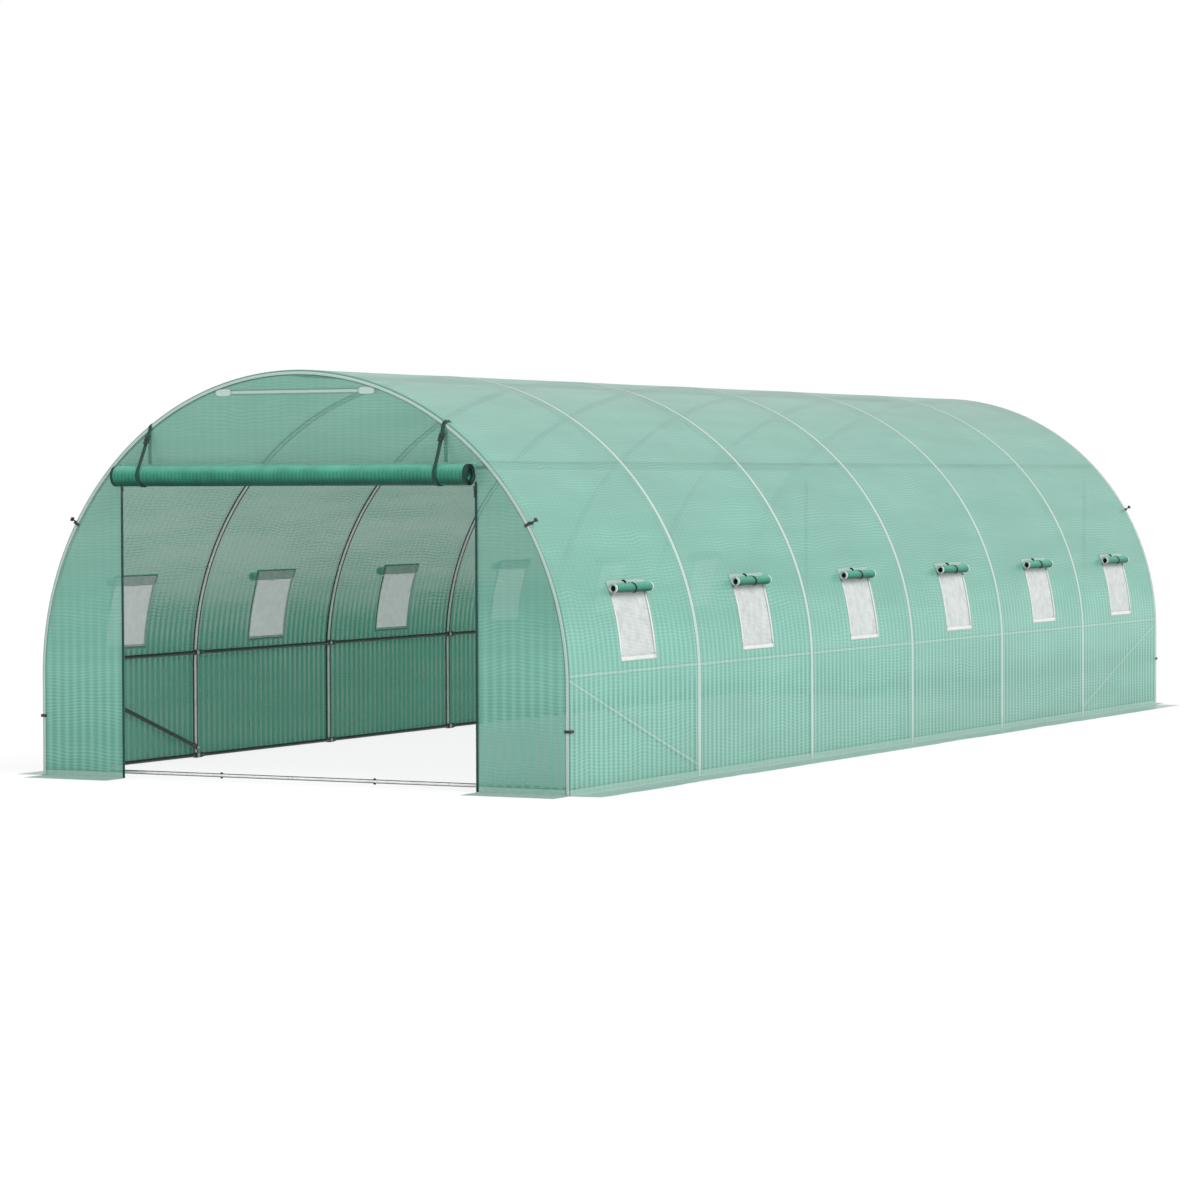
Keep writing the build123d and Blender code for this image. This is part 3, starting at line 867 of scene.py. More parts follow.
def sweep(path, sides, width, thickness):
    """Points, faces and surface places of flat webbing along a path, with its width along the given sides."""
    chamfer = thickness * 0.35
    wide, narrow, thick = width / 2, width / 2 - chamfer, thickness / 2
    upper = [(-wide, 0), (-narrow, thick), (0, thick), (narrow, thick)]
    outline = upper + [(-across, -rise) for across, rise in upper]
    corners = len(outline)
    points, faces, surface = [], [], []
    travelled = 0.0
    for index, place in enumerate(path):
        before = path[max(index - 1, 0)]
        after = path[min(index + 1, len(path) - 1)]
        travelled += (place - before).length
        along = (after - before).normalized()
        side = (sides[index] - along * sides[index].dot(along)).normalized()
        up = along.cross(side)
        for across, rise in outline:
            points.append(place + side * across + up * rise)
            surface.append((across, travelled))
    for low in range(0, len(points) - corners, corners):
        for corner in range(corners):
            following = (corner + 1) % corners
            faces.append((low + corner, low + following, low + corners + following, low + corners + corner))
    faces.append(tuple(reversed(range(corners))))
    faces.append(tuple(range(len(points) - corners, len(points))))
    return points, faces, surface


def bar(low, high):
    """Points, faces and surface places of a block between two corners, to be rounded by a bevel."""
    points = [
        Vector((x, y, z)) for x in (low[0], high[0]) for y in (low[1], high[1]) for z in (low[2], high[2])
    ]
    faces = [(0, 1, 3, 2), (4, 6, 7, 5), (0, 4, 5, 1), (2, 3, 7, 6), (0, 2, 6, 4), (1, 5, 7, 3)]
    return points, faces, [(point.x, point.z) for point in points]


def spiral(centre, inner, outer, pitch, last_angle, per_turn):
    """Section of a rolled sheet from its core out to the last angle, as (place, angle, distance along)."""
    turns = (outer - inner) / pitch
    count = int(turns * per_turn)
    found, travelled, before = [], 0.0, None
    for index in range(count + 1):
        wound = index / count * turns
        angle = last_angle - (turns - wound) * tau
        radius = inner + (outer - inner) * index / count
        place = Vector((centre[0] + radius * cos(angle), centre[1] + radius * sin(angle)))
        if before is not None:
            travelled += (place - before).length
        before = place
        found.append((place, angle, travelled))
    return found


# Node trees for what repeats


def geometry_tree(name, inputs):
    """A new Geometry Nodes tree with one mesh in, one out and a material."""
    mesh = ("Geometry", "Geometry")
    return node_group("Geometry", name, [(*mesh, None), *inputs, ("Material", "Material", None)], [mesh])


def shape(tree, kind, inputs, **settings):
    """The first output of a new Geometry Nodes node."""
    return node(tree, f"GeometryNode{kind}", inputs, **settings).outputs[0]


def point_axis(tree, label):
    """A direction that the points carry."""
    kind = "GeometryNodeInputNamedAttribute"
    return node(tree, kind, {"Name": label}, data_type="FLOAT_VECTOR").outputs["Attribute"]


def stand_along(tree, axis):
    """The turn that sets a piece's Z along an axis."""
    return node(tree, "FunctionNodeAlignRotationToVector", {"Vector": axis}, axis="Z").outputs[0]


def close_tree(tree, given, end, copies, smooth=True):
    """Ends a tree with plain geometry in its material."""
    plain = shape(tree, "RealizeInstances", {0: copies})
    if smooth:
        plain = shape(tree, "SetShadeSmooth", {0: plain})
    painted = shape(tree, "SetMaterial", {"Geometry": plain, "Material": given["Material"]})
    feed(tree, end, {"Geometry": painted})


@built_once
def swept_hoops(name):
    """Sweeps a tube along a line and repeats it at even spacing."""
    inputs = [
        ("Tube Radius", "Float", 0.0125),
        ("Sides", "Int", 20),
        ("Count", "Int", 7),
        ("Spacing", "Vector", (0.0, 1.0, 0.0)),
    ]
    tree, given, end = geometry_tree(name, inputs)
    line = shape(tree, "MeshToCurve", {0: given["Geometry"]})
    circle = {"Resolution": given["Sides"], "Radius": given["Tube Radius"]}
    ring = shape(tree, "CurvePrimitiveCircle", circle, mode="RADIUS")
    tube = shape(tree, "CurveToMesh", {"Curve": line, "Profile Curve": ring, "Fill Caps": True})
    row = shape(tree, "MeshLine", {"Count": given["Count"], "Offset": given["Spacing"]})
    close_tree(tree, given, end, shape(tree, "InstanceOnPoints", {"Points": row, "Instance": tube}))


@built_once
def bolts_on_points(name):
    """Puts a hexagon head and its washer on each point, along the point's axis."""
    inputs = [("Head Radius", "Float", 0.0062), ("Head Height", "Float", 0.0042)]
    tree, given, end = geometry_tree(name, inputs)
    radius, height = given["Head Radius"], given["Head Height"]
    head = shape(tree, "MeshCylinder", {"Vertices": 6, "Radius": radius, "Depth": height})
    lift = calc(tree, "MULTIPLY_ADD", height, 0.5, 0.0014)
    lift = node(tree, "ShaderNodeCombineXYZ", {2: lift}).outputs[0]
    head = shape(tree, "Transform", {"Geometry": head, "Translation": lift})
    wider = calc(tree, "MULTIPLY", radius, 1.55)
    washer = shape(tree, "MeshCylinder", {"Vertices": 14, "Radius": wider, "Depth": 0.0016})
    washer = shape(tree, "Transform", {"Geometry": washer, "Translation": (0.0, 0.0, 0.0008)})
    both = tree.nodes.new("GeometryNodeJoinGeometry")
    tree.links.new(head, both.inputs[0])
    tree.links.new(washer, both.inputs[0])
    turn = stand_along(tree, point_axis(tree, "axis"))
    copies = {"Points": given["Geometry"], "Instance": both.outputs[0], "Rotation": turn}
    close_tree(tree, given, end, shape(tree, "InstanceOnPoints", copies), smooth=False)


@built_once
def tubes_on_points(name):
    """Sets copies of one tube on points, turned by the axes that the points carry."""
    tree, given, end = geometry_tree(name, [("Tube", "Object", None)])
    tube = node(tree, "GeometryNodeObjectInfo", {"Object": given["Tube"]}).outputs["Geometry"]
    axes = {0: point_axis(tree, "axis"), 1: point_axis(tree, "along")}
    turn = node(tree, "FunctionNodeAxesToRotation", axes, primary_axis="Z", secondary_axis="Y").outputs[0]
    copies = {"Points": given["Geometry"], "Instance": tube, "Rotation": turn}
    close_tree(tree, given, end, shape(tree, "InstanceOnPoints", copies))


@built_once
def pieces_along_lines(name):
    """Sets small rounded pieces, such as stitches or zip teeth, along lines."""
    inputs = [("Spacing", "Float", 0.009), ("Piece Size", "Vector", (0.002, 0.002, 0.005))]
    tree, given, end = geometry_tree(name, inputs)
    line = shape(tree, "MeshToCurve", {0: given["Geometry"]})
    even = shape(tree, "ResampleCurve", {"Curve": line, "Length": given["Spacing"]}, mode="LENGTH")
    small = shape(tree, "MeshUVSphere", {"Segments": 6, "Rings": 4, "Radius": 0.5})
    turn = stand_along(tree, shape(tree, "InputTangent", {}))
    copies = {"Points": even, "Instance": small, "Rotation": turn, "Scale": given["Piece Size"]}
    close_tree(tree, given, end, shape(tree, "InstanceOnPoints", copies))


def settle(carrier, tree, values):
    """Runs a node tree on a carrier object and keeps the result as a plain mesh under its name."""
    modifier = carrier.modifiers.new("Nodes", "NODES")
    modifier.node_group = tree
    for item in tree.interface.items_tree:
        if item.item_type == "SOCKET" and item.in_out == "INPUT" and item.name in values:
            modifier[item.identifier] = values[item.name]
    graph = bpy.context.evaluated_depsgraph_get()
    mesh = bpy.data.meshes.new_from_object(
        carrier.evaluated_get(graph), preserve_all_data_layers=True, depsgraph=graph
    )
    carrier.modifiers.remove(modifier)
    name = carrier.name
    bpy.data.objects.remove(carrier)
    if not len(mesh.polygons):
        raise RuntimeError(f"{name} came out empty")
    mesh.name = name
    return placed(name, mesh)


def line_carrier(name, lines):
    """An object of plain edges, for a node tree to follow."""
    mesh = bpy.data.meshes.new(name)
    points, edges = [], []
    for line in lines:
        start = len(points)
        points += [tuple(point) for point in line]
        edges += [(start + index, start + index + 1) for index in range(len(line) - 1)]
    mesh.from_pydata(points, edges, [])
    return placed(name, mesh)


def point_carrier(name, spots):
    """An object of loose points, each with the axis on which something stands and the way that it runs."""
    mesh = bpy.data.meshes.new(name)
    places, axes, ways = zip(*spots)
    mesh.from_pydata([tuple(place) for place in places], [], [])
    for label, directions in (("axis", axes), ("along", ways)):
        carried = mesh.attributes.new(label, "FLOAT_VECTOR", "POINT")
        for index, direction in enumerate(directions):
            carried.data[index].vector = direction
    return placed(name, mesh)


# Operators, one for each group of pieces


class PolytunnelStage(bpy.types.Operator):
    """Sets the camera, the soft lights, the world and the floor"""

    bl_idname = "polytunnel.stage"
    bl_label = "Stage"

    def execute(self, context):
        scene = context.scene
        scene.view_settings.view_transform = "Standard"
        scene.camera = self.camera()
        self.world(scene)
        self.floor()
        for name, energy, place, spread in (
            ("Key light", 2.45, (7.2, -1.9, 6.8), 40.0),
            ("Fill light", 0.25, (-6.0, -6.0, 4.0), 60.0),
        ):
            light = bpy.data.lights.new(name, "SUN")
            light.energy = energy
            light.angle = radians(spread)
            lamp = placed(name, light)
            lamp.location = place
            lamp.rotation_euler = (-Vector(place)).to_track_quat("-Z", "Y").to_euler()
        return {"FINISHED"}

    def camera(self):
        """The view onto the front corner, with a focal length in pixels of its square frame."""
        eye, aim = Vector((9.8675, -19.4673, 1.4573)), Vector((-0.4637, 0.0, 0.7731))
        roll = 0.00355
        focal_pixels, frame_pixels, sensor = 3802.7, 1200, 36.0
        back = (eye - aim).normalized()
        right = UPWARD.cross(back).normalized()
        up = back.cross(right)
        lens = bpy.data.cameras.new("Camera")
        lens.sensor_width = sensor
        lens.lens = sensor * focal_pixels / frame_pixels
        lens.clip_end = 400.0
        turned_right = cos(roll) * right - sin(roll) * up
        turned_up = sin(roll) * right + cos(roll) * up
        turn = Matrix((turned_right, turned_up, back)).transposed().to_4x4()
        camera = placed("Camera", lens)
        camera.matrix_world = Matrix.Translation(eye) @ turn
        return camera

    def world(self, scene):
        world = bpy.data.worlds.new("Studio")
        scene.world = world
        world.use_nodes = True
        tree = world.node_tree
        strength = calc(tree, "MULTIPLY_ADD", seen(tree), 0.34, 0.66)
        feed(tree, tree.nodes["Background"], {"Color": (1, 1, 1, 1), "Strength": strength})

    def floor(self):
        reach, level = 120.0, -0.001
        corners = [(x * reach, y * reach, level) for x, y in ((-1, -1), (1, -1), (1, 1), (-1, 1))]
        material = floor_material("studio floor")
        mesh_piece("studio_floor", corners, [(0, 1, 2, 3)], [material], smooth=False)


class PolytunnelHoops(bpy.types.Operator):
    """Sweeps the seven hoops"""

    bl_idname = "polytunnel.hoops"
    bl_label = "Hoops"

    def execute(self, context):
        size = sizes()
        total = arch_length()
        feet = [0.0005, 0.25]
        bent = between(size.leg_height, total - size.leg_height, 120)
        distances = [*feet, *bent, *[total - v for v in reversed(feet)]]
        line = [arch(v)[0] + HOOP_Y[0] * FORWARD for v in distances]
        # The hoops' rims are darkened with painted shade
        values = {
            "Tube Radius": size.hoop_tube / 2,
            "Sides": 20,
            "Count": len(HOOPS),
            "Spacing": (0.0, BAY, 0.0),
            "Material": tube_material("hoop steel", finishes().hoop, 0.04, 0.27),
        }
        piece = settle(line_carrier("hoops", [line]), swept_hoops(), values)
        dress(piece, "tube", *HOOPS)
        return {"FINISHED"}


def rail_reach(bay):
    """A rail's distance from the tunnel's middle, one pressed end further in at every second bay."""
    size = sizes()
    inner = size.hoop_radius - size.hoop_tube / 2 - FIT_GAP
    return inner - size.pressed_thickness / 2 - (bay % 2) * (size.pressed_thickness + FIT_GAP)


def rail_spots(y, reach):
    """Places of the bay rails at one hoop, each with its outward direction."""
    low = sizes().rail_rise / sizes().hoop_radius
    spots = []
    for angle in (low, pi / 4, pi / 2, 3 * pi / 4, pi - low):
        out = Vector((cos(angle), 0, sin(angle)))
        spots.append((Vector((0, y, sizes().leg_height)) + reach * out, out))
    for side in (-1, 1):
        spots.append((Vector((side * reach, y, BASE_RAIL_HEIGHT)), side * ACROSS))
    return spots


class PolytunnelTubes(bpy.types.Operator):
    """Fits the rails and braces, whose ends are pressed flat, and the plain tie bars"""

    bl_idname = "polytunnel.tubes"
    bl_label = "Rails and braces"

    def execute(self, context):
        # The rails' dark colour and their darker rims are painted shade
        steel = tube_material("rail steel", finishes().rail, 0.06, 0.40)
        rails = []
        for bay in range(BAYS):
            rails += [(place, out, FORWARD) for place, out in rail_spots(HOOP_Y[bay], rail_reach(bay))]
        self.fit("bay_rails", rails, BAY, BOLT_MARGIN, BAY_RAILS, steel)
        reach = rail_reach(0)
        # The end rails' near-white face is partly a painted highlight, and their rims are painted shade
        bright = tube_material("end rail steel", finishes().end_rail, 0.12, 0.50)
        ends = [
            (Vector((reach, end * END_RAIL_PLACE, END_RAIL_HEIGHT)), UPWARD, -ACROSS) for end in (-1, 1)
        ]
        self.fit("end_rails", ends, 2 * reach, BOLT_MARGIN, ["base_rails_ends"], bright)
        braces = []
        for end in (-1, 1):
            way = Vector((0, -end * BAY, BRACE_FOOT - BRACE_TOP))
            for side in (-1, 1):
                top = Vector((side * reach, end * HOOP_Y[-1], BRACE_TOP))
                braces.append((top, side * ACROSS, way.normalized()))
        self.fit("braces", braces, way.length, BRACE_MARGIN, ["diagonal_braces"], steel)
        line = [Vector((x, HOOP_Y[0], TIE_HEIGHT)) for x in between(TIE_LOW.x, TIE_HIGH.x, 4)]
        values = {
            "Tube Radius": sizes().rail_tube / 2,
            "Sides": 18,
            "Count": 2,
            "Spacing": (0.0, SPAN, 0.0),
            "Material": steel_material("galvanised steel", finishes().steel, 70.0),
        }
        dress(settle(line_carrier("tie_bars", [line]), swept_hoops(), values), "tube", "gable_tie_bars")
        return {"FINISHED"}

    def fit(self, name, spots, span, margin, nodes, steel):
        """Sets one length of tube at each spot."""
        points, faces = self.pressed_tube(span, margin)
        tube = mesh_piece("tube_pattern", points, faces, [])
        piece = settle(point_carrier(name, spots), tubes_on_points(), {"Tube": tube, "Material": steel})
        bpy.data.objects.remove(tube)
        dress(piece, "tube", *nodes)

    def pressed_tube(self, span, margin, sides=20):
        """A tube along Y from bolt to bolt, round in the middle and pressed flat past each bolt."""
        size = sizes()
        taper = [(0.024, 0.0), (0.031, 0.1), (0.038, 0.35), (0.046, 0.68), (0.053, 0.92), (0.060, 1.0)]
        near = [(-margin, 0.0), *taper]
        stations = near + [(span - y, fullness) for y, fullness in reversed(near)]
        points, faces = [], []
        for y, fullness in stations:
            wide = size.pressed_width + fullness * (size.rail_tube - size.pressed_width)
            thick = size.pressed_thickness + fullness * (size.rail_tube - size.pressed_thickness)
            power = 0.35 + 0.65 * fullness
            for index in range(sides):
                x, z = cos(tau * index / sides), sin(tau * index / sides)
                across = wide / 2 * copysign(abs(x) ** power, x)
                points.append(Vector((across, y, thick / 2 * copysign(abs(z) ** power, z))))
        for first in range(0, len(points) - sides, sides):
            for index in range(sides):
                after = (index + 1) % sides
                faces.append((first + index, first + sides + index, first + sides + after, first + after))
        faces.append(tuple(range(sides)))
        faces.append(tuple(reversed(range(len(points) - sides, len(points)))))
        return points, faces


class PolytunnelBolts(bpy.types.Operator):
    """Sets the bolts at every joint of the frame"""

    bl_idname = "polytunnel.bolts"
    bl_label = "Bolts"

    def execute(self, context):
        half_flat = sizes().pressed_thickness / 2
        spots = []
        for index, y in enumerate(HOOP_Y):
            inner = rail_reach(min(index, 1)) - half_flat
            spots += [(place, -out, FORWARD) for place, out in rail_spots(y, inner)]
        reach = rail_reach(0)
        inner = reach - half_flat
        for end in (-1, 1):
            hoop = end * HOOP_Y[-1]
            for side in (-1, 1):
                inward = -side * ACROSS
                end_rail = Vector((side * reach, end * END_RAIL_PLACE, END_RAIL_HEIGHT + half_flat))
                spots.append((Vector((side * inner, hoop, BRACE_TOP)), inward, FORWARD))
                spots.append((Vector((side * inner, hoop - end * BAY, BRACE_FOOT)), inward, FORWARD))
                spots.append((end_rail, UPWARD, FORWARD))
        zinc = steel_material("bolt zinc", finishes().steel, 240.0)
        self.set_bolts("bolts", spots, zinc, radius=0.0062, height=0.0042)
        joints = []
        sunk = sizes().rail_tube / 2 - 0.001
        for end in (-1, 1):
            for x in RAIL_JOINTS:
                for way in (-1, 1):
                    joint = Vector((-end * x, end * END_RAIL_PLACE, END_RAIL_HEIGHT + way * sunk))
                    joints.append((joint, way * UPWARD, FORWARD))
        self.set_bolts("rail_joint_bolts", joints, black_plastic(), radius=0.0058, height=0.0052)
        return {"FINISHED"}

    def set_bolts(self, name, spots, material, radius, height):
        values = {"Head Radius": radius, "Head Height": height, "Material": material}
        dress(settle(point_carrier(name, spots), bolts_on_points(), values), "tube")


def window_opening():
    """Half the width of a window, and its head and sill as distances along the arch."""
    size = sizes()
    return size.window_width / 2, along_arch(size.window_head), along_arch(size.window_sill)


class PolytunnelCover(bpy.types.Operator):
    """Stretches the arched film over the hoops, with an opening at each window"""

    bl_idname = "polytunnel.cover"
    bl_label = "Cover"

    def execute(self, context):
        size = sizes()
        half, head, sill = window_opening()
        total = arch_length()
        columns = self.columns(half)
        right = [*between(total / 2, head, 40), *between(head, sill, 10)[1:]]
        right += between(sill, total - size.leg_height, 3)[1:]
        right += between(total - size.leg_height, total - FILM_FOOT, 10)[1:]
        distances = [total - v for v in reversed(right)] + right[1:]
        rows, surface = [], []
        for v in distances:
            place, out = arch(v)
            row, places = [], []
            for y, turn in columns:
                lift = film_lift(v, y) if not turn else size.film_stand * cos(turn)
                end = -1 if y < 0 else 1
                slide = end * size.film_stand * sin(turn)
                row.append(place + lift * out + (y + slide) * FORWARD)
                places.append((y - HOOP_Y[0] + end * size.film_stand * turn, v))
            rows.append(row)
            surface.append(places)

        def keep(i, j):
            v = (distances[i] + distances[i + 1]) / 2
            y = (columns[j][0] + columns[j + 1][0]) / 2
            beside = any(abs(y - middle) < half for middle in WINDOW_MIDDLES)
            level = head < v < sill or total - sill < v < total - head
            return not (beside and level)

        piece = sheet_piece("arch_cover", rows, surface, [self.film()], keep=keep)
        dress(reworked(piece, drop_loose), "cover", *COVER_NODES)
        return {"FINISHED"}

    def columns(self, half):
        """Places along the tunnel, each with how far the film has turned round an end hoop there."""
        wrap = between(0.0, pi / 2, 5)
        middle, edge = 0.5 + WINDOW_SHIFT / BAY, half / BAY
        before, after = [0, 0.03, 0.08, 0.15, 0.22, 0.30], [0.70, 0.78, 0.85, 0.92, 0.97]
        stops = [*before, *between(middle - edge, middle + edge, 4), *after]
        columns = [(HOOP_Y[0], turn) for turn in reversed(wrap[1:])]
        columns += [(HOOP_Y[0] + (bay + stop) * BAY, 0.0) for bay in range(BAYS) for stop in stops]
        return columns + [(HOOP_Y[-1], turn) for turn in wrap]

    def film(self):
        """The arched film, with the rails faint under it and the hoops clear, drawn on it as painted
        highlights and painted shade.
        """
        paint = finishes()
        # Painted highlights and painted shade of the purlins, rails and hoops behind the film; the purlins
        # show only as painted shade
        marks = [
            Mark(purlin_distance, 0.0020, 0.006, 0.0, 0.45, paint.film_pale),
            Mark(rail_distance, 0.0075, 0.006, 0.34, 0.30, paint.film_pale),
            Mark(foot_distance, 0.031, 0.006, 0.92, 0.60, paint.film_hem),
            Mark(hoop_distance, 0.0160, 0.009, 0.88, 0.80, paint.film_pale),
        ]
        return film_material("arch film", marks, (0.95, 0.12), cover=(paint.cover_low, paint.cover_arch))


def gable_top(x):
    """Height of a gable's edge."""
    size = sizes()
    return size.leg_height + sqrt(max(size.hoop_radius**2 - x * x, 0.0))


def gable_place(x, z, end):
    """A point on a gable's film, which hangs a little loose."""
    size = sizes()
    stand = abs(HOOP_Y[0]) + size.film_stand
    taut = 0.25
    rim = min(size.hoop_radius - hypot(x, max(z - size.leg_height, 0.0)), z, taut) / taut
    ripple = noise.noise(Vector((2.2 * x, 1.6 * z, 3.0 * end)))
    return Vector((x, end * (stand - max(rim, 0.0) * (0.003 + 0.003 * ripple)), z))


def gable_grid(columns, heights, end):
    """Points, faces and surface places of a part of a gable, with the heights that each column has."""
    rows = [[gable_place(x, z, end) for z in heights(x)] for x in columns]
    surface = [[(x, z) for z in heights(x)] for x in columns]
    return grid(rows, surface, turned=end > 0)[:3]


class PolytunnelGables(bpy.types.Operator):
    """Hangs the two gables and shuts the rear door"""

    bl_idname = "polytunnel.gables"
    bl_label = "Gables"

    def execute(self, context):
        paint, radius = finishes(), sizes().hoop_radius
        # Painted highlights of the tie bars and end hoop, and a pale patch over each socket, with painted
        # shade at their edges
        marks = [
            Mark(tie_distance, 0.0080, 0.009, 0.85, 0.85, paint.film_pale),
            Mark(socket_distance, SOCKET_HALF_HEIGHT, 0.005, 0.95, 0.50, paint.film_pale),
            Mark(foot_distance, 0.031, 0.006, 0.92, 0.60, paint.film_hem),
            Mark(rim_distance, 0.0090, 0.007, 0.88, 0.85, paint.film_pale),
        ]
        low = paint.cover_low
        front = film_material("gable film", marks, GABLE_RIBS, cover=(low, paint.cover_gable))
        rear = film_material("rear gable film", marks, GABLE_RIBS, cover=(low, paint.cover_rear))
        for (end, name), film in zip(ENDS, (front, rear)):
            piece = self.gable(f"gable_{name}", end, film)
            dress(piece, "cover", *[f"gable_{name}_{part}" for part in ("left", "right", "top")])
        columns = between(-DOOR_HALF, DOOR_HALF, 34)
        panel = gable_grid(columns, lambda x: between(FILM_FOOT, DOOR_TOP, 26), 1)
        door = joined_piece("rear_door_panel", [panel], film_material("door film", ribs=GABLE_RIBS))
        dress(door, "cover", "rear_door")
        return {"FINISHED"}

    def gable(self, name, end, film):
        """One gable with its doorway left open."""
        radius = sizes().hoop_radius
        outer = [-radius * cos(turn) for turn in between(0.0, acos(DOOR_HALF / radius), 14)]
        outer[-1] = -DOOR_HALF
        upper_rows, lower_rows = 10, 24
        door_share = (DOOR_TOP - FILM_FOOT) / (gable_top(DOOR_HALF) - FILM_FOOT)
        steps = between(0.0, door_share, lower_rows)[:-1] + between(door_share, 1.0, upper_rows)

        def beside_door(x):
            return [FILM_FOOT + step * (gable_top(x) - FILM_FOOT) for step in steps]

        def over_door(x):
            return between(DOOR_TOP, gable_top(x), upper_rows)

        parts = [
            gable_grid(outer, beside_door, end),
            gable_grid(between(-DOOR_HALF, DOOR_HALF, 48), over_door, end),
            gable_grid([-x for x in reversed(outer)], beside_door, end),
        ]
        return reworked(joined_piece(name, parts, film), merge_doubles)


class PolytunnelGroundFlaps(bpy.types.Operator):
    """Lays the flaps that are weighed down round the tunnel's foot"""

    bl_idname = "polytunnel.ground_flaps"
    bl_label = "Ground flaps"

    def execute(self, context):
        film = film_material("flap film", ribs=(0.1, 0.1), pale=0.55, cover=[finishes().cover_flap] * 2)
        side_wall = sizes().hoop_radius + sizes().film_stand
        end_wall = abs(HOOP_Y[0]) + sizes().film_stand
        reach = FLAP_REACH - side_wall
        for side, name in SIDES:

            def beside(y, out):
                return self.lie(side * (side_wall + out * reach), y, out)

            along = between(-end_wall, end_wall, 150)
            piece = self.flap(f"flap_{name}", along, reach, beside, film, side > 0)
            dress(piece, "cover", f"ground_flap_{name}")
        reach = END_REACH - end_wall
        for end, end_name in ENDS:
            for side, name in SIDES:

                def before(x, out):
                    return self.lie(side * x, end * (end_wall + out * reach), out)

                along = between(DOOR_HALF, side_wall - END_FLAP_INSET, 12)
                piece = self.flap(f"flap_{end_name}_{name}", along, reach, before, film, side * end > 0)
                dress(piece, "cover", "ground_flaps_ends")
        return {"FINISHED"}

    def lie(self, x, y, out):
        """A point of a flap, which lies in low waves."""
        ripple = noise.noise(Vector((2.6 * x, 2.6 * y, 1.5)))
        ripple += 0.6 * noise.noise(Vector((7.0 * x, 7.0 * y, 4.0)))
        rise = 0.0045 * max(0.0, 1.0 - out / 0.10) ** 2
        return Vector((x, y, 0.0012 + rise + max(0.0, ripple) * 0.004 * min(out * 2.5, 1.0)))

    def flap(self, name, along, reach, place, film, turned):
        """One flap, from places along its seam and shares of its reach."""
        steps = [0.0, 0.02, 0.06, 0.14, 0.28, 0.45, 0.62, 0.80, 0.93, 1.0]
        rows = [[place(spot, out) for out in steps] for spot in along]
        surface = [[(spot, out * reach) for out in steps] for spot in along]
        return sheet_piece(name, rows, surface, [film], turned=turned)


class PolytunnelDoorRoll(bpy.types.Operator):
    """Rolls up the front door above the doorway"""

    bl_idname = "polytunnel.door_roll"
    bl_label = "Door roll"

    def execute(self, context):
        outer, core, pitch = ROLL_RADIUS - 0.001, 0.028, 0.0042
        y, z = ROLL_CENTRE
        section = spiral(ROLL_CENTRE, core, outer, pitch, 0.0, 30)
        wound, travelled = len(section) - 1, section[-1][2]
        foot = Vector((y + outer, z))
        for rise in between(0.0, ROLL_HIGH.z - z - 0.002, 6)[1:]:
            place = Vector((y + outer, z + rise))
            section.append((place, 0.0, travelled + (place - foot).length))
        half = ROLL_HIGH.x
        edge = [half - 0.016, half - 0.004, half]
        columns = [*[-x for x in reversed(edge)], *between(-half + 0.017, half - 0.017, 60), *edge]
        rows, surface = [], []
        for place, angle, far in section:
            rows.append([self.wrinkled(x, place, angle) for x in columns])
            surface.append([(x, far) for x in columns])
        last = len(columns) - 4

        def pick(i, j):
            if i >= wound:
                return 2
            return 1 if j < 2 or j > last else 0

        films = [
            rolled_material("rolled door film", 0.9),
            tape_material("door binding", finishes().binding),
            film_material("door tail film", ribs=(0.2, 0.1)),
        ]
        piece = sheet_piece("rolled_door", rows, surface, films, pick=pick)
        thicken(piece, thickness=0.0014, offset=0.0)
        dress(piece, "rolled_sheet", "door_roll")
        return {"FINISHED"}

    def wrinkled(self, x, place, angle):
        """A point of the roll, with small wrinkles where it is wound."""
        if not angle:
            return Vector((x, place.x, place.y))
        wrinkle = noise.noise(Vector((3.0 * x, 2.0 * cos(angle), 2.0 * sin(angle)))) * 0.0012
        wrinkle += noise.noise(Vector((14.0 * x, 3.0 * angle, 5.0))) * 0.0005
        return Vector((x, place.x + wrinkle * cos(angle), place.y + wrinkle * sin(angle)))


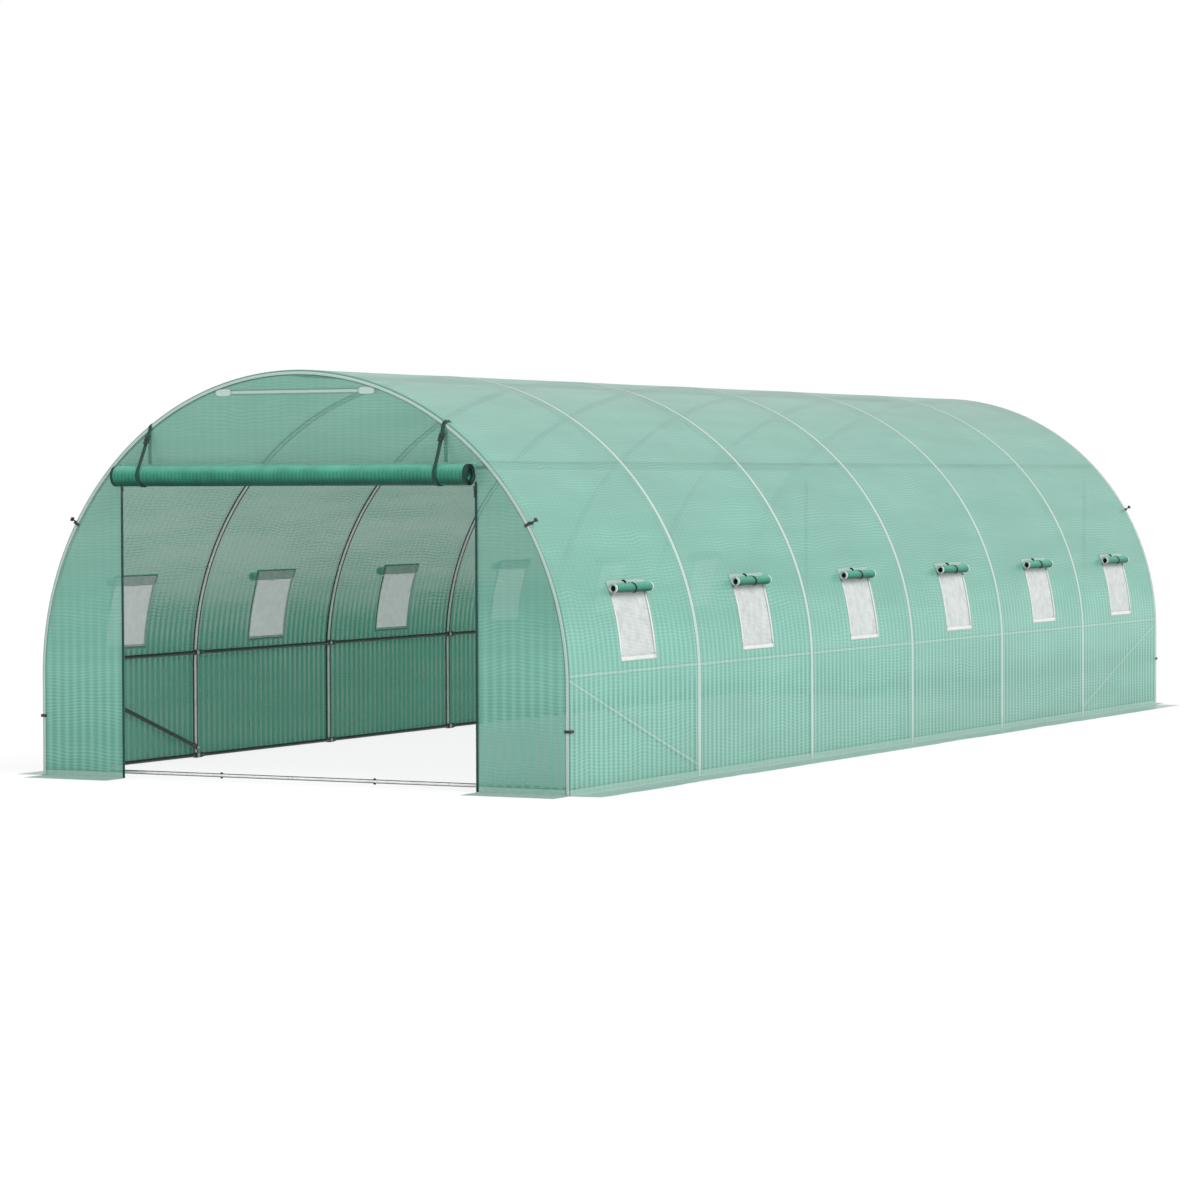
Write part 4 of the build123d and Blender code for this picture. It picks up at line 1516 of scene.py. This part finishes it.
class PolytunnelDoorStraps(bpy.types.Operator):
    """Ties the roll up with two straps and their buckles"""

    bl_idname = "polytunnel.door_straps"
    bl_label = "Door straps"

    def execute(self, context):
        straps, buckles = [], []
        for side in (1, -1):
            path, sides, (place, along) = self.route(side)
            straps.append(sweep(path, sides, sizes().strap_width, thickness=0.0018))
            buckles += self.buckle(place, along)
        webbing = tape_material("strap webbing", finishes().strap, 0.0034)
        dress(outward(joined_piece("door_straps_webbing", straps, webbing)), "strap", "door_straps")
        piece = outward(joined_piece("strap_buckle_frames", buckles, black_plastic()))
        dress(bevel(piece, width=0.0012), "buckle", "strap_buckles")
        return {"FINISHED"}

    def route(self, side):
        """A strap's line over the end hoop, round the roll and up inside, with its sides and its buckle."""
        size = sizes()
        x = size.strap_place
        angle = acos(x / (size.hoop_radius + size.film_stand))
        out = Vector((cos(angle), 0, sin(angle)))
        slope = Vector((sin(angle), 0, -cos(angle)))
        hoop = Vector((0, HOOP_Y[0], size.leg_height)) + size.hoop_radius * out
        stand = size.film_stand + 0.0016
        path = [hoop + stand * out + back * FORWARD for back in (0.030, 0.020, 0.008)]
        for turn in between(0.0, radians(84), 6):
            path.append(hoop + stand * (cos(turn) * out - sin(turn) * FORWARD))
        sides = [slope] * len(path)
        start = path[-1]
        ring = ROLL_RADIUS + 0.0017

        def on_roll(turn):
            return Vector((x, ROLL_CENTRE[0] + ring * cos(turn), ROLL_CENTRE[1] + ring * sin(turn)))

        away, above = start.y - ROLL_CENTRE[0], start.z - ROLL_CENTRE[1]
        touch = atan2(above, away) + acos(ring / hypot(away, above))
        first = on_roll(touch)
        for step in (0.12, 0.25, 0.4, 0.55, 0.7, 0.85):
            path.append(start.lerp(first, step) + 0.004 * sin(pi * step) * FORWARD)
            sides.append(slope.lerp(ACROSS, min(1.0, step * 2.2)).normalized())
        buckle = (path[-5].lerp(path[-4], 0.2), (first - start).normalized())
        path += [on_roll(turn) for turn in between(touch, radians(-58.0) + tau, 22)]
        inside = HOOP_Y[0] - 0.0108
        knee = Vector((x, inside, DOOR_TOP - 0.014))
        path += [path[-1].lerp(knee, 0.5), knee, Vector((x, inside + 0.0005, DOOR_TOP + 0.01))]
        under_hoop = size.hoop_radius - size.hoop_tube / 2
        top = size.leg_height + sqrt(under_hoop**2 - (x + 0.01) ** 2) - 0.001
        path += [Vector((x, inside, z)) for z in between(DOOR_TOP + 0.04, top, 5)]
        sides += [ACROSS] * (len(path) - len(sides))

        def on_side(ways):
            return [Vector((side * way.x, way.y, way.z)) for way in ways]

        return on_side(path), on_side(sides), on_side(buckle)

    def buckle(self, place, along):
        """A ladder-lock buckle: a frame, two cross bars and a lifting tab."""
        wide, tall, deep = 0.031 / 2, 0.036 / 2, 0.0042 / 2
        along = (along - ACROSS * along.dot(ACROSS)).normalized()
        turn = Matrix((ACROSS, along, ACROSS.cross(along))).transposed()
        blocks = [
            ((-wide, -tall, -deep), (-wide + 0.0045, tall, deep)),
            ((wide - 0.0045, -tall, -deep), (wide, tall, deep)),
            ((-wide, -tall, -deep), (wide, -tall + 0.006, deep)),
            ((-wide, -0.004, -0.0044), (wide, 0.002, -0.0012)),
            ((-wide, tall - 0.006, -deep), (wide, tall, deep)),
            ((-wide, tall - 0.002, -0.0058), (wide, tall + 0.008, -0.0018)),
        ]
        made = []
        for low, high in blocks:
            points, faces, surface = bar(low, high)
            made.append(([place + turn @ point for point in points], faces, surface))
        return made


class PolytunnelDoorZips(bpy.types.Operator):
    """Sews in the zips beside both doors"""

    bl_idname = "polytunnel.door_zips"
    bl_label = "Door zips"

    def execute(self, context):
        tapes, teeth, sliders = [], [], []
        foot, top = ZIP_LOW.z + 0.001, ZIP_HIGH.z
        wide = sizes().zip_width
        for end in (-1, 1):
            face = end * (abs(ZIP_LOW.y) - 0.0004)
            for side in (-1, 1):
                edge = side * (DOOR_HALF + 0.001)
                tapes.append(self.tape(side * (DOOR_HALF + wide / 2), face, foot, top))
                teeth.append([Vector((edge, face, z)) for z in between(foot, top, 2)])
                if end > 0:
                    inner_edge = side * (DOOR_HALF - 0.002)
                    tapes.append(self.tape(side * (DOOR_HALF - wide / 2), face, foot, top))
                    staggered = [z + 0.004 for z in between(foot, top - 0.006, 2)]
                    teeth.append([Vector((inner_edge, face, z)) for z in staggered])
                height = top - 0.03 if end < 0 else foot + 0.06
                sliders += self.slider(edge, face + end * 0.002, height, end)
        cloth = tape_material("zip tape", finishes().zip_tape, 0.0022)
        dress(outward(joined_piece("zip_tapes", tapes, cloth)), "zip", "door_zips")
        values = {
            "Spacing": 0.008,
            "Piece Size": (0.0058, 0.0036, 0.0046),
            "Material": plastic_material("zip teeth", finishes().black),
        }
        dress(settle(line_carrier("zip_teeth", teeth), pieces_along_lines(), values), "zip")
        metal = steel_material("slider zinc", finishes().slider, 300.0)
        dress(bevel(outward(joined_piece("zip_sliders", sliders, metal)), width=0.001), "zip")
        return {"FINISHED"}

    def tape(self, middle, face, foot, top):
        path = [Vector((middle, face, z)) for z in between(foot, top, 30)]
        return sweep(path, [ACROSS] * len(path), sizes().zip_width, thickness=0.0012)

    def slider(self, x, y, z, end):
        """A slider with its bridge, and its pull hanging down."""
        out, pull_out = y + end * 0.003, y + end * 0.0045
        blocks = [
            ((x - 0.006, y - 0.003, z - 0.010), (x + 0.006, y + 0.003, z + 0.010)),
            ((x - 0.0015, out - 0.003, z - 0.006), (x + 0.0015, out + 0.003, z + 0.006)),
            ((x - 0.004, pull_out - 0.001, z - 0.044), (x + 0.004, pull_out + 0.001, z - 0.004)),
        ]
        return [bar(low, high) for low, high in blocks]


class PolytunnelWindows(bpy.types.Operator):
    """Fits the nets, tapes, rolled flaps and ties of the twelve windows"""

    bl_idname = "polytunnel.windows"
    bl_label = "Windows"

    def execute(self, context):
        paint = finishes()
        white = tape_material("white tape", paint.tape, 0.0026, 0.55, 0.94)
        trims, seams, ties = [], [], []
        for side, side_name in SIDES:
            for number, middle in enumerate(WINDOW_MIDDLES, 1):
                self.net(f"net_{side_name}_{number}", side, middle)
                self.flap(f"window_flap_{side_name}_{number}", side, middle, white)
                trims += self.trim(side, middle)
                seams += self.seams(side, middle)
                ties += self.tie(side, middle)
        dress(thicken(joined_piece("window_tapes", trims, white), thickness=0.0011), "trim", "window_trims")
        values = {
            "Spacing": sizes().stitch_pitch,
            "Piece Size": (0.0014, 0.0014, 0.0062),
            "Material": tape_material("thread", paint.thread, 0.001),
        }
        dress(settle(line_carrier("window_stitches", seams), pieces_along_lines(), values), "trim")
        webbing = tape_material("tie webbing", paint.black, 0.0018)
        dress(outward(joined_piece("window_tie_webbing", ties, webbing)), "strap", "window_ties")
        return {"FINISHED"}

    def on_side(self, side, v):
        """A distance along the arch on the window's own side."""
        return v if side > 0 else arch_length() - v

    def patch(self, side, start, end, low, high, lift, rows, columns):
        """A patch on the film between two distances and two places along the tunnel."""
        v_list = [self.on_side(side, v) for v in between(start, end, rows)]
        y_list = between(low, high, columns)
        points = [[on_film(v, y, lift) for y in y_list] for v in v_list]
        surface = [[(y - HOOP_Y[0], v) for y in y_list] for v in v_list]
        return grid(points, surface, turned=side < 0)[:3]

    def net(self, name, side, middle):
        half, head, sill = window_opening()
        half, head, sill = half + NET_MARGIN, head - NET_MARGIN, sill + NET_MARGIN
        patch = self.patch(side, head, sill, middle - half, middle + half, -0.0018, 14, 12)
        piece = joined_piece(name, [patch], net_material("window net"))
        dress(piece, "screen", "window_screens")

    def trim(self, side, middle):
        """Tapes down both sides and across the sill."""
        half, head, sill = window_opening()
        low, high = middle - half, middle + half
        start, end = head + TAPE_DROP, sill + 0.001
        return [
            self.patch(side, start, end, low - SIDE_TAPE, low, 0.0006, 12, 2),
            self.patch(side, start, end, high, high + SIDE_TAPE, 0.0006, 12, 2),
            self.patch(side, sill, sill + SILL_TAPE, low - SIDE_TAPE, high + SIDE_TAPE, 0.0008, 3, 12),
        ]

    def seams(self, side, middle):
        """Lines of stitches along both edges of each tape."""
        half, head, sill = window_opening()
        down = between(head + TAPE_DROP + 0.002, sill - 0.002, 16)
        lines = []
        for way in (-1, 1):
            for inset in (0.003, 0.015):
                y = middle + way * (half + inset)
                lines.append([on_film(self.on_side(side, v), y, 0.0019) for v in down])
        for drop in (0.004, 0.018):
            v = self.on_side(side, sill + drop)
            level = between(middle - half - 0.014, middle + half + 0.014, 14)
            lines.append([on_film(v, y, 0.0021) for y in level])
        return lines

    def roll_centre(self, side, middle):
        """Where a flap's roll sits, with the outward and upward directions there."""
        size = sizes()
        film = size.hoop_radius + size.film_stand
        turn = size.window_head - size.flap_drop / film
        turn = turn if side > 0 else pi - turn
        out = Vector((cos(turn), 0, sin(turn)))
        up = Vector((-sin(turn), 0, cos(turn))) * side
        sag = film_lift(along_arch(turn), middle) - size.film_stand
        reach = film + 0.0014 + size.flap_roll / 2 + sag
        return Vector((0, middle, size.leg_height)) + reach * out, out, up

    def flap(self, name, side, middle, white):
        """A flap rolled up under the window's head, with its tail sewn on above."""
        size = sizes()
        centre, out, up = self.roll_centre(side, middle)
        outer, core, pitch = size.flap_roll / 2 - 0.0008, 0.0145, 0.0026
        section = spiral((0.0, 0.0), core, outer, pitch, pi, 24)
        rolled, travelled = len(section) - 1, section[-1][2]
        for rise in (0.008, 0.017, 0.027, 0.037, 0.046):
            section.append((Vector((-outer, rise)), None, travelled + rise))
        half = size.flap_length / 2
        inner = half - 0.0115
        columns = [-half, -half + 0.011, *between(-inner, inner, 14), half - 0.011, half]
        rows, surface = [], []
        for place, angle, far in section:
            row = []
            for y in columns:
                spot = (9.0 * y + 3.0 * middle, 2.0 * place.x / outer, 2.0 * place.y / outer + side)
                swell = 1.0 if angle is None else 1.0 + 0.0006 * noise.noise(Vector(spot)) / outer
                row.append(centre + swell * (place.x * out + place.y * up) + y * FORWARD)
            rows.append(row)
            surface.append([(y, far) for y in columns])
        last = len(columns) - 3

        def pick(i, j):
            if i >= rolled:
                return 2
            return 1 if j < 1 or j > last else 0

        films = [
            rolled_material("rolled flap film", 0.55),
            white,
            film_material("flap tail film", ribs=(0.1, 0.1), pale=0.55, cover=(0.97, 0.97)),
        ]
        piece = sheet_piece(name, rows, surface, films, pick=pick, turned=side < 0)
        thicken(piece, thickness=0.0011, offset=0.0)
        dress(piece, "rolled_sheet", "window_flaps")

    def tie(self, side, middle):
        """Webbing slung round the roll, with its loose end standing off."""
        centre, out, up = self.roll_centre(side, middle)
        ring, thickness = sizes().flap_roll / 2 + 0.0016, 0.0016
        first, last = radians(150), radians(-115)
        path = []
        for turn in between(first, last, 20):
            slip = 0.040 * (turn - first) / (last - first) - 0.018
            path.append(centre + ring * (cos(turn) * out + sin(turn) * up) + slip * FORWARD)
        band = sweep(path, [FORWARD] * len(path), 0.011, thickness)
        loose_end = [
            path[0] + away * out + rise * up - aside * FORWARD
            for away, rise, aside in (
                (0.0, -0.002, 0.0),
                (0.008, 0.009, 0.004),
                (0.014, 0.018, 0.012),
                (0.013, 0.025, 0.021),
                (0.008, 0.029, 0.029),
            )
        ]
        tail = sweep(loose_end, [0.6 * FORWARD + out] * len(loose_end), 0.010, thickness)
        return [band, tail]


class PolytunnelFittings(bpy.types.Operator):
    """Finishes the sockets of the tie bars and the clamps on the end hoops"""

    bl_idname = "polytunnel.fittings"
    bl_label = "Fittings"

    def execute(self, context):
        self.paint("tie_bar_sockets", plastic_material("white moulding", finishes().moulding, 0.38))
        self.paint("cover_clamps", black_plastic())
        return {"FINISHED"}

    def paint(self, name, material):
        """Gives a CAD node that stays a better material."""
        piece = frame["nodes"][name]
        if not piece.material_slots:
            raise RuntimeError(f"{name} has no material slot")
        for slot in piece.material_slots:
            slot.material = material


class PolytunnelPanel(bpy.types.Panel):
    """Lists the sizes, the colours and the steps of the polytunnel"""

    bl_idname = "VIEW3D_PT_polytunnel"
    bl_label = "Polytunnel"
    bl_space_type = "VIEW_3D"
    bl_region_type = "UI"
    bl_category = "Polytunnel"

    def draw(self, context):
        for group in (context.scene.polytunnel_sizes, context.scene.polytunnel_finishes):
            box = self.layout.box()
            for name in group.__annotations__:
                box.prop(group, name)
        for step in STEPS:
            self.layout.operator(step.bl_idname)


STEPS = [
    PolytunnelStage,
    PolytunnelHoops,
    PolytunnelTubes,
    PolytunnelBolts,
    PolytunnelCover,
    PolytunnelGables,
    PolytunnelGroundFlaps,
    PolytunnelDoorRoll,
    PolytunnelDoorStraps,
    PolytunnelDoorZips,
    PolytunnelWindows,
    PolytunnelFittings,
]
CLASSES = [PolytunnelSizes, PolytunnelFinishes, *STEPS, PolytunnelPanel]


def register():
    for kind in CLASSES:
        bpy.utils.register_class(kind)
    bpy.types.Scene.polytunnel_sizes = bpy.props.PointerProperty(type=PolytunnelSizes)
    bpy.types.Scene.polytunnel_finishes = bpy.props.PointerProperty(type=PolytunnelFinishes)


def unregister():
    del bpy.types.Scene.polytunnel_finishes
    del bpy.types.Scene.polytunnel_sizes
    for kind in reversed(CLASSES):
        bpy.utils.unregister_class(kind)


def main():
    register()
    for step in STEPS:
        group, name = step.bl_idname.split(".")
        getattr(getattr(bpy.ops, group), name)()


if __name__ == "__main__":
    main()
